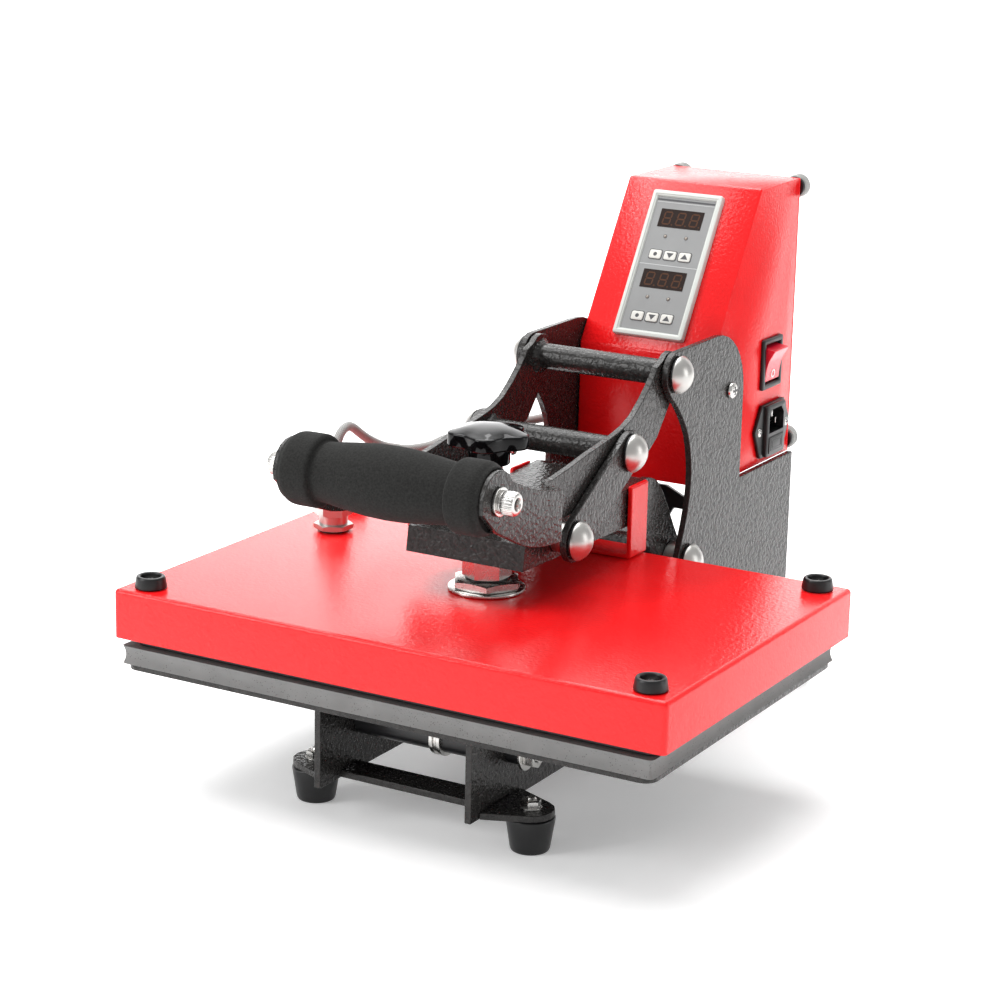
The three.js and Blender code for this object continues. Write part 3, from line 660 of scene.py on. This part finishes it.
# ---- lever and links
def weld_bead(name, at, sign):
    """Ring of weld where a cross tube of the lever meets its plate."""
    radius = 8.0
    profile = [(radius - 0.3, 0), (radius + 2.3, 0), (radius + 1.9, 0.8), (radius + 1.1, 1.6),
               (radius + 0.3, 2.6), (radius - 0.3, 3.2)]
    seed = 9 * sign + at.z / 20
    lump = lambda a: noise.noise(Vector((2.2 * cos(a), 2.2 * sin(a), seed)))
    ripple = lambda a, r, h: 1 + (r - radius + 0.3) / radius * (0.55 * lump(a) + 0.12 * sin(23 * a))
    place = stand_at("-x" if sign > 0 else "+x", Vector((sign * LEVER_IN, at.y, at.z)))
    make(name, turned(profile, 72, ripple), HAMMER, "lever", place)


def lever():
    dress("lever_frame", HAMMER, 0.45)
    dress("grip_rod", ZINC, 0.3)
    for pivot, at in (("lever", LEVER_AT), ("link", LINK_TOP_AT)):
        for side, sign in SIDES:
            weld_bead(f"weld_{pivot}_{side}", at, sign)
    for side, sign in SIDES:
        dress(f"link_{side}", HAMMER, 0.45)
        grip_screw(side, sign)
    foam_grip()


def foam_grip():
    low, high = box_mm("foam_grip")
    at, half, big = (low + high) / 2, (high.x - low.x) / 2, (high.z - low.z) / 2
    barrel = curved([(big - 0.2, 0), (big - 0.6, 12), (big - 1.9, 25), (big - 3.3, 36), (big - 4, 41.6)], 5)
    collar = curved([(big - 4, 41.6), (big - 3.2, 42.3), (big - 1.6, 42.7), (big - 0.4, 43.7), (big, 45.6),
                     (big, 50), (big, 55), (big - 0.4, 58.6), (big - 1.7, 60.9), (18.0, 62.6),
                     (17.2, 63.2)], 4)
    seat = [(16.9, half), (11.4, half)]
    half_profile = barrel[:-1] + collar + seat
    profile = [(r, -h) for r, h in reversed(half_profile)] + half_profile[1:]
    uneven = lambda a, r, h: 0.996 + 0.004 * noise.noise(Vector((2.2 * cos(a), 2.2 * sin(a), h / 11)))
    grip = make("grip_foam", turned(profile, 72, uneven), FOAM, "lever", outward(1, at), "foam_grip",
                sharp=60)


def grip_screw(side, sign):
    """Washer, spring washer and a knurled socket head."""
    node = f"grip_screw_{side}"
    at = middle(node)
    end = box_mm("grip_screw_right")[1].x
    face = box_mm("lever_frame")[1].x + GAP
    place = outward(sign, at)
    washer = band(4, 8, face, face + 1.5, 0.3)
    make(f"{node}_washer", turned(washer, 48), ZINC, "lever", place, node)
    spring = band(4, 6.4, face + 1.5, face + 3.4, 0.2)
    make(f"{node}_spring", turned(spring, 48), ZINC, "lever", place)
    knurl = lambda a, r, h: 1 + (0.02 * (1 if sin(32 * a) > 0 else -1) if r > 6 and h < end - 1 else 0)
    head = [(4, face + 3.4), (6.3, face + 3.4), (6.35, face + 3.8), (6.35, end - 1.3), (5.9, end - 0.4),
            (5.2, end), (3.7, end), (3.4, end - 0.4), (3.1, end - 3.5), (0, end - 3.7)]
    make(f"{node}_head", turned(head, 128, knurl), ZINC, "lever", place)
    # dark hexagon at the bottom of the head's recess: painted shade standing for the hex socket
    make(f"{node}_socket_shade", prism(hexagon(5.0), end - 3.6, end - 3.2), GRAINED, "lever", place)


# ---- upper platen
def cover():
    """Folded tray: rounded bends along the top, a thin hem below."""
    low, high = box_mm("platen_cover")
    centre, size = (low + high) / 2, high - low
    wall, bend = 1.5, 2.6
    levels = [(wall, high.z - wall), (wall, low.z + 0.3), (wall - 0.3, low.z), (0.3, low.z), (0, low.z + 0.3)]
    levels += [(bend * (1 - cos(t)), high.z - bend * (1 - sin(t)))
               for t in (k / 6 * pi / 2 for k in range(7))]
    loops = stepped(size.x, size.y, 3.0, levels, 5, centre)
    piece = make("cover_skin", rings(*loops), RED, "platen", node="platen_cover", sharp=44)


def knob():
    """Five lobes with a shallow crown, and a hub with its clamping screw."""
    low, high = box_mm("pressure_knob")
    at = Vector((POST_AT.x, POST_AT.y, 0))
    lobe, phase, base = 2.3, 0.05, 21.8
    z0, z1 = low.z + 10.7, high.z
    levels = [(0.0, z0 + 0.5), (0.5, z0 + 0.5), (0.93, z0), (0.975, z0 + 0.15), (0.996, z0 + 0.6),
              (1.0, z0 + 1.2), (1.0, z0 + 7.1), (0.995, z0 + 7.6), (0.978, z0 + 8.05), (0.94, z0 + 8.35),
              (0.86, z0 + 8.8), (0.76, z0 + 9.5), (0.62, z0 + 10.4), (0.45, z0 + 11.1), (0.25, z0 + 11.6),
              (0.0, z1)]
    profile = [(base * s, z) for s, z in levels]
    lobes = lambda a, r, h: 1 + (lobe / base) * cos(5 * (a - phase)) * (r / base) ** 2.2
    make("knob_crown", turned(profile, 120, lobes), GLOSS, "knob", stand_at("+z", at), "pressure_knob",
         sharp=60)
    hub = eased([(0, low.z), (11.4, low.z), (12, low.z + 0.6), (12, z0 + 1), (0, z0 + 1)], 0.5)
    make("knob_hub", turned(hub, 56), GLOSS, "knob", stand_at("+z", at))
    spot = Matrix.Translation(at + Vector((0, 0, low.z + 8.1))) @ Matrix.Rotation(radians(28), 4, "Z")
    screw = turned([(0, 11.8), (2.0, 11.8), (2.0, 12.4), *pan_head(3.1, 3.2, 12.4)[1:]], 32)
    make("knob_screw", screw, ZINC, "knob", spot @ ACROSS)
    # dark cross on the screw head: painted shade for its recess
    make("knob_screw_recess", phillips_shade(1.7, 0.12, 15.5), GRAINED, "knob", spot @ ACROSS)
    top, pitch = box_mm("pressure_screw")[1].z, 2.0
    thread = [(0, 124), (5, 124), (5, 142), *threads(8, 142, 203, pitch, 0.9), (5, 203), (5, top), (0, top)]
    make("screw_thread", turned(thread, 48), ZINC, "knob", stand_at("+z", at), "pressure_screw")


def centre_post():
    end, top = box_mm("centre_post")[1].z, box_mm("platen_cover")[1].z
    place = stand_at("+z", Vector((POST_AT.x, POST_AT.y, 0)))
    washer = eased([(11.7, top - 14), (11.7, top + GAP), (22.4, top + GAP), (22.4, top + 2.1),
                    (19, top + 2.1), (18.6, top + 2.5), (5, top + 2.5)], 0.5)
    make("post_washer", turned(washer, 72), ZINC, "platen", place, "centre_post")
    make("post_thin_nut", nut(36, top + 2.4, top + 7.1, 30), ZINC, "platen", place, sharp=30)
    # a thin dark ring between the thin nut and the hexagon
    dark_ring = band(4, 12.6, top + 7.1, top + 7.9, 0.2)
    make("post_shim", turned(dark_ring, 56), GRAINED, "platen", place)
    make("post_hexagon", nut(24.6, top + 7.9, end, 0), ZINC, "platen", place, sharp=30)


def gland():
    """Hexagon on the cover, threaded body and a domed hexagon nut that grips the lead."""
    node = "cable_gland"
    low, high = box_mm(node)
    top = box_mm("platen_cover")[1].z
    place = stand_at("+z", Vector((middle(node).x, middle(node).y, 0)))
    body = [(3.7, low.z), *threads(8, low.z, top - 2, 1.5, 0.6), (8, top + 1.2), (8.8, top + 1.4),
            (8.8, top + 10), (8.3, top + 10.3), (3.7, top + 10.3)]
    make("gland_body", turned(body, 56), NICKEL, "platen", place, node)
    gasket = band(8, 9.6, top + GAP, top + 1.3, 0.3)
    make("gland_gasket", turned(gasket, 48), RUBBER, "platen", place)
    make("gland_hexagon", nut(21.4, top + 1.4, top + 4.9, 0), NICKEL, "platen", place, sharp=30)
    cap = [(9.0, top + 10.1), (9.9, top + 10.4), (9.9, top + 17.4), *[
        (3.6 + 6.2 * cos(t), top + 18.0 + 6.2 * sin(t)) for t in (k / 7 * radians(82) for k in range(8))],
        (3.5, high.z - 0.6), (3.4, high.z - 2.5)]
    make("gland_cap", turned(cap, 56), NICKEL, "platen", place)
    make("gland_nut", nut(20.2, top + 10.4, top + 17.0, 0), NICKEL, "platen", place, sharp=30)
    seal = band(2.95, 4.4, high.z - 3, high.z - 0.1, 0.3)
    make("gland_seal", turned(seal, 40), RUBBER, "platen", place)


def buffer(node):
    """Rubber cup with the pan-head screw that holds it."""
    low, high = box_mm(node)
    place = stand_at("+z", Vector(((low.x + high.x) / 2, (low.y + high.y) / 2, low.z)))
    cup = eased([(0, 0), (8.9, 0), (9.3, 0.5), (8.4, 6.0), (7.8, 7.0), (6.4, 7.0), (5.8, 6.2), (5.6, 2.6),
                 (0, 2.6)], 0.5)
    make(f"{node}_cup", turned(cup, 56), RUBBER, "platen", place, node)
    make(f"{node}_screw", turned(pan_head(4.0, 2.2, 2.6), 40), ZINC, "platen", place)
    # dark cross on the screw head: painted shade for its recess
    make(f"{node}_recess", phillips_shade(2.0, 0.1, 4.76), GRAINED, "platen", place)


def platen():
    cover()
    dress("heat_plate", COATED, 0.8)
    dress("guide_bracket", RED, 0.9)
    centre_post()
    gland()
    knob()
    for node in four("buffer", "front", "back"):
        buffer(node)


# ---- control box
BOX_LOW, BOX_HIGH = box_mm("box_shell")
SOCKET = [(-10.9, -1.5), (10.9, -1.5), (10.9, 9.5), (6.7, 14.1), (-6.7, 14.1), (-10.9, 9.5)]
PANEL_AXIS = Vector(next(j["axis"] for j in frame["joints"] if j["name"] == "temperature_set_press"))
SLOPE = math.atan2(PANEL_AXIS.y, -PANEL_AXIS.z)


def panel_place():
    """Frame of the slanted sheet: x across, y up the slope, z out of the sheet."""
    return Matrix.Translation(PANEL_TOP) @ Matrix.Rotation(SLOPE, 4, "X")


def panel_top():
    """The upper edge of the slanted sheet, from the highest corners of the shell's front."""
    tops = [v.co / MM for v in frame["nodes"]["box_shell"].data.vertices
            if v.co.z / MM > BOX_HIGH.z - 0.1]
    return Vector((0, min(t.y for t in tops), BOX_HIGH.z))


PANEL_TOP = panel_top()


def box_shell():
    """Folded skin with a softer bend than the cut edges."""
    bend_z = PANEL_TOP.z - (PANEL_TOP.y - BOX_LOW.y) * math.tan(SLOPE)
    outline = [(BOX_LOW.y, BOX_LOW.z), (BOX_HIGH.y, BOX_LOW.z), (BOX_HIGH.y, BOX_HIGH.z),
               (PANEL_TOP.y, BOX_HIGH.z), (BOX_LOW.y, bend_z)]
    skin = prism(outline, BOX_LOW.x, BOX_HIGH.x)
    weight = skin.edges.layers.float.new("bevel_weight_edge")
    for edge in skin.edges:
        cut = any(all(abs(v.co[axis] - limit) < 0.01 for v in edge.verts)
                  for axis, limit in ((1, BOX_LOW.z), (0, BOX_HIGH.y)))
        edge[weight] = 0.2 if cut else 1.0
    shell = make("box_skin", skin, RED, "stand", ACROSS, "box_shell", bevel=1.3)
    shell.modifiers["edges"].limit_method = "WEIGHT"
    face, switch_at = BOX_HIGH.x, middle("switch_housing")
    socket = prism(SOCKET, face - SOCKET_DEPTH - 1, face + 5)
    socket.transform(outward(1, middle("mains_inlet")))
    low, high = box_mm("switch_housing")
    pocket = 12.2             # not as deep as SWITCH_DEPTH: the well's floor lies inside this skin
    well = prism(rounded(high.y - low.y - 7.2, high.z - low.z - 6.4, 0.5, 0, 2, (switch_at.y, switch_at.z)),
                 face - pocket, face + 5)
    well.transform(ACROSS)
    carve(shell, socket, well)
    dress("box_back", RED, 0.4)
    dress("heater_relay", RELAY, 0.5)


def thumbscrew(node):
    low, high = box_mm(node)
    seat = box_mm("box_back")[1].y + 0.2
    place = stand_at("+y", Vector(((low.x + high.x) / 2, 0, (low.z + high.z) / 2)))
    ring = band(2, 6.7, seat, seat + 2.6, 0.5)
    make(f"{node}_ring", turned(ring, 48), RUBBER, "stand", place, node)
    knurl = lambda a, r, h: 1 + (0.022 * sin(40 * a) if r > 7 else 0)
    head = [(2, seat + 2.6), (6.6, seat + 2.6), (7.3, seat + 3.2), (7.35, seat + 3.6), (7.35, high.y - 1),
            (7.2, high.y - 0.6), (6.5, high.y), (2.6, high.y), (2.2, high.y - 0.6), (0, high.y - 0.7)]
    make(f"{node}_head", turned(head, 200, knurl), KNURL, "stand", place)


def box_screw(side, sign):
    node = f"box_screw_{side}"
    at = middle(node)
    place = outward(sign, at)
    make(f"{node}_head", turned(eased(pan_head(5.2, 3.0, HEAD_AT), 0.2), 48), ZINC, "stand", place, node)
    # dark cross on the screw head: painted shade for its recess
    make(f"{node}_recess", phillips_shade(2.6, 0.5, HEAD_AT + 2.55), GRAINED, "stand", place)


def seven_segments(width, height, bar, slant=0.09):
    """Outlines of the seven bars of one digit, centred on its own middle."""
    w, h, t, g = width / 2, height / 2, bar / 2, bar * 0.12
    flat = lambda y: [(-w + g, y), (-w + t + g, y + t), (w - t - g, y + t), (w - g, y), (w - t - g, y - t),
                      (-w + t + g, y - t)]
    tall = lambda x, a, b: [(x, a + g), (x + t, a + t + g), (x + t, b - t - g), (x, b - g),
                            (x - t, b - t - g), (x - t, a + t + g)]
    bars = [flat(-h), flat(0), flat(h), tall(-w, -h, 0), tall(-w, 0, h), tall(w, -h, 0), tall(w, 0, h)]
    return [[(x + slant * y, y) for x, y in outline] for outline in bars]


def meter():
    """Panel meter: stepped bezel, printed label, two displays, four lamps and six keys."""
    place = panel_place()
    inverse = place.inverted()
    local = lambda node: [inverse @ (v.co / MM) for v in frame["nodes"][node].data.vertices]
    span = lambda node: (Vector(map(min, zip(*local(node)))), Vector(map(max, zip(*local(node)))))
    low, high = span("meter_housing")
    cx, cy, w, h, top = (low.x + high.x) / 2, (low.y + high.y) / 2, high.x - low.x, high.y - low.y, high.z
    levels = ((0, GAP), (0, top - 1.0), (0.35, top - 0.3), (1.0, top), (2.5, top), (2.9, top - 0.5),
              (3.5, top - 0.6), (3.8, top - 1.2), (4.1, top - 1.6), (4.1, GAP))
    bezel = make("meter_bezel", rings(*stepped(w, h, 1.6, levels, 4, (cx, cy)), caps=False), BEZEL, "stand",
                 place, "meter_housing")
    face_z = span("meter_face")[1].z
    label = make("meter_label", prism(rounded(w - 8.1, h - 8.1, 0.8, 0, 3, (cx, cy)), 1.3, face_z - 0.02),
                 LABEL, "stand", place, "meter_face")

    def flat(name, outline, material, low_z, high_z):
        return make(name, prism(outline, low_z, high_z), material, "stand", place)

    left, right = cx - w / 2 + 4.3, cx + w / 2 - 4.3
    for k, (s, thick, material) in enumerate(((6.2, 1.2, PRINT), (7.7, 0.3, PALE_PRINT),
                                              (h / 2 + 0.9, 0.35, PALE_PRINT))):
        y = cy + h / 2 - s
        flat(f"meter_line_{k}", oblong(left, y - thick / 2, right, y + thick / 2), material,
             face_z - 0.02, face_z + 0.03)
    board = [p for p in local("display_board") if p.z > 1]       # the displays' raised fronts
    windows = sorted({round(p.y, 1) for p in board}, reverse=True)
    board_x = [p.x for p in board]
    win_x, win_w = (min(board_x) + max(board_x)) / 2, max(board_x) - min(board_x)
    pitch = 9.4                                                  # from digit to digit
    for row, (y_top, y_low) in enumerate(zip(windows[::2], windows[1::2])):
        y, win_h = (y_top + y_low) / 2, y_top - y_low
        window = flat(f"display_{row}", rounded(win_w, win_h, 0.3, 0, 2, (win_x, y)), WINDOW, 1.4,
                      face_z + 0.12)
        if row == 0:
            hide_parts("display_board")
        for digit in range(3):
            shift = win_x + (digit - 1) * pitch
            for part, outline in enumerate(seven_segments(4.9, 8.2, 0.95)):
                flat(f"digit_{row}_{digit}_{part}", [(a + shift, b + y) for a, b in outline], SEGMENT,
                     face_z + 0.10, face_z + 0.15)
            dot = arc((shift + 4.1, y - 4.3), 0.55, 0, 330, 11)
            flat(f"digit_{row}_{digit}_dot", dot, SEGMENT, face_z + 0.10, face_z + 0.15)
        for lamp, u in enumerate((-7.7, 6.8)):
            spot = place @ Matrix.Translation((cx + u, y - 12.3, 0))
            lens = [(0, face_z), (1.0, face_z), (0.9, face_z + 0.3), (0.5, face_z + 0.55), (0, face_z + 0.62)]
            make(f"lamp_{row}_{lamp}", turned(lens, 24), LENS, "stand", spot)
            ring = oblong(1.0, face_z - 0.02, 1.3, face_z + 0.04)
            make(f"lamp_ring_{row}_{lamp}", turned(ring, 24), PRINT, "stand", spot)
    for row in ("temperature", "time"):
        for column in ("set", "down", "up"):
            key(f"key_{row}_{column}", column, place, span, face_z)


def key(node, kind, place, span, face_z):
    """Raised cap in a dark printed frame, with an arrow for down and up."""
    low, high = span(node)
    x, y, w, h = (low.x + high.x) / 2, (low.y + high.y) / 2, high.x - low.x, high.y - low.y
    body = node.removeprefix("key_") + "_key"
    rim = stepped(w + 1.1, h + 1.1, 1.5,
                  ((0, face_z - 0.02), (0, face_z + 0.04), (0.5, face_z + 0.04), (0.5, face_z - 0.02)),
                  4, (x, y))
    make(f"{node}_rim", rings(*rim, caps=False), PRINT, "stand", place)
    cap = stepped(w, h, 1.2, ((0, low.z + 1), (0, high.z - 0.35), (0.12, high.z - 0.12),
                              (0.4, high.z - 0.02), (1.2, high.z)), 4, (x, y))
    make(f"{node}_cap", rings(*cap), KEY, body, place, node)
    point = {"down": -1, "up": 1}.get(kind)
    if point:
        mark = [(x - 2.5, y - point * 1.6), (x + 2.5, y - point * 1.6), (x, y + point * 1.9)]
    else:
        mark = arc((x, y), 1.3, 0, 345, 23)
    make(f"{node}_{'arrow' if point else 'mark'}", prism(mark, high.z - 0.01, high.z + 0.02), PRINT, body,
         place)


def switch():
    """Framed rocker whose front is hollow, its top end standing out."""
    low, high = box_mm("switch_housing")
    y, z = (low.y + high.y) / 2, (low.z + high.z) / 2
    face = BOX_HIGH.x
    w, h = high.y - low.y, high.z - low.z
    levels = ((0, face + 0.3), (0, high.x - 1.0), (0.3, high.x - 0.35), (0.9, high.x), (3.0, high.x),
              (3.5, high.x - 0.4), (3.7, high.x - 1.2), (3.7, face - SWITCH_DEPTH))
    loops = stepped(w, h, 1.8, levels, 4, (y, z))
    housing = make("switch_frame", rings(*loops, caps=False), GRAINED, "stand", ACROSS, "switch_housing")
    well = rounded(w - 7.4, h - 6.6, 0.5, 0, 2, (y, z))
    make("switch_well", prism(well, face - SWITCH_DEPTH, face - SWITCH_DEPTH + 0.5), GRAINED, "stand", ACROSS)
    low, high = box_mm("switch_rocker")
    front = curved([(48.6, low.z + 0.3), (48.9, low.z + 4), (49.6, low.z + 9), (51.2, low.z + 14.5),
                    (55.0, high.z - 2.0)], 5)
    crown = [(54.2, high.z - 1.8), (46, high.z - 0.5), (42, high.z - 0.5)]
    profile = [(42, low.z + 0.3), *front, *crown, (36, high.z - 6.5), (36, low.z + 6.3)]
    rocker = make("rocker_paddle", prism([(-x, v) for x, v in profile], low.y, high.y), ROCKER, "rocker",
                  stand_at("+y", Vector()), "switch_rocker", bevel=0.45)
    off_mark(middle("switch_rocker").y, low.z + 4.6, 49.2)


def off_mark(y, z, x):
    """Ring moulded in the lower end of the rocker's face."""
    lean = Matrix.Translation((x, y, z)) @ Matrix.Rotation(radians(5), 4, "Y") @ ACROSS
    ring = [[(a, b, d) for a, b in arc((0, 0), r, 0, 350, 35)]
            for r, d in ((1.75, -0.7), (1.75, 0.1), (2.7, 0.1), (2.7, -0.7))]
    make("rocker_off_mark", rings(*ring, caps=False), WHITE_MARK, "rocker", lean)


def inlet():
    """Flanged mains inlet with a raised body, three blades and a fuse drawer."""
    low, high = box_mm("mains_inlet")
    y, z, face = (low.y + high.y) / 2, (low.z + high.z) / 2, BOX_HIGH.x
    place = stand_at("+x", Vector((0, y, z)))
    half = (high.y - low.y) / 2
    flange = [(-half, 1.5), (-17.6, 15.6), *arc((-15.2, 15.0), 2.5, 160, 90, 3),
              *arc((15.2, 15.0), 2.5, 90, 20, 3), (half, 1.5), (17.9, -15.6),
              *arc((15.4, -15.0), 2.5, -20, -90, 3), *arc((-15.4, -15.0), 2.5, 270, 200, 3)]
    part = make("inlet_flange", prism(flange, face + GAP, face + 2.8), GRAINED, "stand", place,
                "mains_inlet", bevel=0.6)
    opening = prism(SOCKET, face - 1, face + 5)
    opening.transform(place)
    carve(part, opening)
    socket = [(a * 0.99, b * 0.99) for a, b in SOCKET]
    raised_body(rounded(28, 33.8, 2.0, 0, 5, (0, 0.1)), socket, high.x, face, place)
    for k, (u, v) in enumerate(((0, 9.6), (-6.2, 4.2), (6.2, 4.2))):
        blade = prism(oblong(u - 0.8, v - 2, u + 0.8, v + 2), face - SOCKET_DEPTH, face + 2.2)
        make(f"inlet_blade_{k}", blade, ZINC, "stand", place, bevel=0.3)
    for side, sign in SIDES:
        spot = stand_at("+x", Vector((0, y + sign * 20, z + 0.6)))
        make(f"inlet_screw_{side}", turned(pan_head(3.0, 1.7, face + 2.4), 36), ZINC, "stand", spot)
        # dark cross on the screw head: painted shade for its recess
        make(f"inlet_recess_{side}", phillips_shade(1.5, 0.12, face + 4.05), GRAINED, "stand", spot)
    drawer()


def raised_body(rim, socket, top, face, place):
    """Rounded block with the socket sunk in it, made as an outer skin, a face with a hole and walls."""
    bm = bmesh.new()
    loops = [[bm.verts.new((a * s, b * s, d)) for a, b in rim]
             for s, d in ((1, face + 0.5), (1, top - 1.0), (0.985, top - 0.3), (0.955, top))]
    for a, b in zip(loops, loops[1:]):
        strip(bm, a, b)
    mouth, floor = ([bm.verts.new((a, b, z)) for a, b in socket] for z in (top, face - SOCKET_DEPTH))
    strip(bm, mouth, floor)
    bm.faces.new(floor)
    edges = [e for e in bm.edges if e.is_boundary and all(abs(v.co.z - top) < 1e-4 for v in e.verts)]
    bmesh.ops.triangle_fill(bm, edges=edges, use_beauty=True)
    make("inlet_body", bm, GRAINED, "stand", place, sharp=40)


def drawer():
    """Fuse drawer front with its moulded frame lines."""
    low, high = box_mm("fuse_drawer")
    y, z = (low.y + high.y) / 2, (low.z + high.z) / 2
    place = stand_at("+x", Vector((0, y, z)))
    w, h = high.y - low.y, high.z - low.z
    levels = ((0, low.x), (0, high.x - 0.5), (0.2, high.x - 0.15), (0.6, high.x))
    loops = stepped(w, h, 0.8, levels, 3)
    part = make("drawer_front", rings(*loops), GRAINED, "fuse_holder", place, "fuse_drawer")
    levels = ((0, high.x - 0.2), (0.1, high.x + 0.12), (0.4, high.x + 0.12), (0.5, high.x - 0.2))
    for k, (across, up) in enumerate(((w - 5, h - 3.2), (w - 9, h - 6.0))):
        ring = stepped(across, up, 0.5, levels, 2)
        make(f"drawer_line_{k}", rings(*ring, caps=False), GRAINED, "fuse_holder", place)


def control_box():
    box_shell()
    meter()
    switch()
    inlet()
    for node in four("thumbscrew", "top", "low"):
        thumbscrew(node)
    for side, sign in SIDES:
        box_screw(side, sign)


# ---- heater lead
def lead():
    """Braided lead along the same route as its CAD solid."""
    shift = middle("cable_gland").y - 172
    route = [(-140, 172, 145.4), (-140, 172, 160), (-140, 173, 167.4), (-140.2, 176, 175),
             (-140.4, 180.8, 180.3), (-140.7, 187.3, 182.3), (-141, 194, 180.7), (-141.3, 204.8, 174),
             (-140.4, 212.6, 169.1),
             (-138, 223.7, 163.4), (-134, 231.9, 160.7), (-128, 239, 159.3), (-119, 250, 160.6),
             (-112.5, 259.5, 164.2), (-101, 285, 167), (-87, 325, 167), (-71, 365, 168), (-57, 391, 169),
             (-46.9, 396, 169)]
    steps = 8
    path = [Vector(p) + Vector((0, shift, 0)) for p in curved(route, steps)]
    radius, around = 2.9, 20
    angles = [2 * pi * j / around for j in range(around)]
    bm = bmesh.new()
    uv = bm.loops.layers.uv.new("lead")
    loops, lengths, length = [], [], 0.0
    side = Vector((1, 0, 0))
    for k, point in enumerate(path):
        ahead = (path[min(k + 1, len(path) - 1)] - path[max(k - 1, 0)]).normalized()
        side = (side - ahead * side.dot(ahead)).normalized()
        up = ahead.cross(side)
        loops.append([bm.verts.new(point + radius * (side * cos(a) + up * sin(a))) for a in angles])
        length += (point - path[k - 1]).length if k else 0
        lengths.append(length * MM)
    for k in range(len(loops) - 1):
        for j in range(around):
            i = (j + 1) % around
            face = bm.faces.new((loops[k][j], loops[k][i], loops[k + 1][i], loops[k + 1][j]))
            corners = ((j, k), (j + 1, k), (j + 1, k + 1), (j, k + 1))
            for loop, (turn, step) in zip(face.loops, corners):
                loop[uv].uv = (turn / around, lengths[step])
    bm.faces.new(loops[0])
    bm.faces.new(loops[-1])
    sleeve = from_bmesh("heater_sleeve", bm, material=BRAID)
    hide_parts("heater_lead")
    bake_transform(sleeve)
    hole = Vector((BOX_LOW.x - 0.4, path[-1].y, path[-1].z))
    grommet = eased([(2.95, -1.5), (5.2, -1.5), (5.2, 0.8), (4.5, 1.8), (2.95, 1.8)], 0.5)
    make("lead_grommet", turned(grommet, 40), RUBBER, "stand", stand_at("-x", hole))


# ---- studio
def area_light(name, at, target, size, power):
    data = bpy.data.lights.new(name, "AREA")
    data.shape = "RECTANGLE"
    data.size, data.size_y = size
    data.energy = power
    aim = (Vector(target) - Vector(at)).to_track_quat("-Z", "Y").to_matrix().to_4x4()
    add_object(name, data).matrix_world = Matrix.Translation(at) @ aim


def studio():
    """White cove with an overhead light, soft boxes at the front left and right, and a wash on the cove."""
    sweep = [(-2.2, 0.0), (1.6, 0.0), *[(1.6 + 1.2 * sin(t), 1.2 * (1 - cos(t)))
                                        for t in (k / 16 * pi / 2 for k in range(1, 17))], (2.8, 3.6)]
    turn = Matrix.Rotation(AZIMUTH, 4, "Z")
    corners = [turn @ Vector((x, y, z)) for y, z in sweep for x in (-3.2, 3.2)]
    faces = [(k, k + 1, k + 3, k + 2) for k in range(0, len(corners) - 2, 2)]
    mesh = bpy.data.meshes.new("cove")
    mesh.from_pydata(corners, [], faces)
    mesh.shade_smooth()
    mesh.materials.append(moulded("white cove", (0.93, 0.93, 0.93), 0.8, 0.0, Specular_IOR_Level=0.1,
                                  Emission_Color=(1, 1, 1, 1), Emission_Strength=0.22))
    add_object("cove", mesh)
    world = bpy.data.worlds.new("studio")
    world.use_nodes = True
    background = world.node_tree.nodes["Background"].inputs
    background["Color"].default_value = (1, 1, 1, 1)
    background["Strength"].default_value = 0.60
    bpy.context.scene.world = world
    bpy.context.scene.view_settings.view_transform = "Standard"
    area_light("overhead", (-0.5, 0.2, 2.2), (0, 0, 0), (2.4, 2.0), 62)
    area_light("front left", (-1.4, -1.7, 1.1), (0, 0, 0.15), (1.0, 1.2), 22)
    area_light("right", (1.7, 0.5, 0.5), (0, 0.1, 0.12), (0.5, 0.9), 4)
    area_light("cove wash", (-0.7, 0.9, 2.4), (-1.4, 2.6, 0.9), (2.4, 0.8), 60)


camera()
lead()
stand()
silicone_pad()
pivots()
lever()
dress("arm", HAMMER, 0.25)
platen()
control_box()
studio()
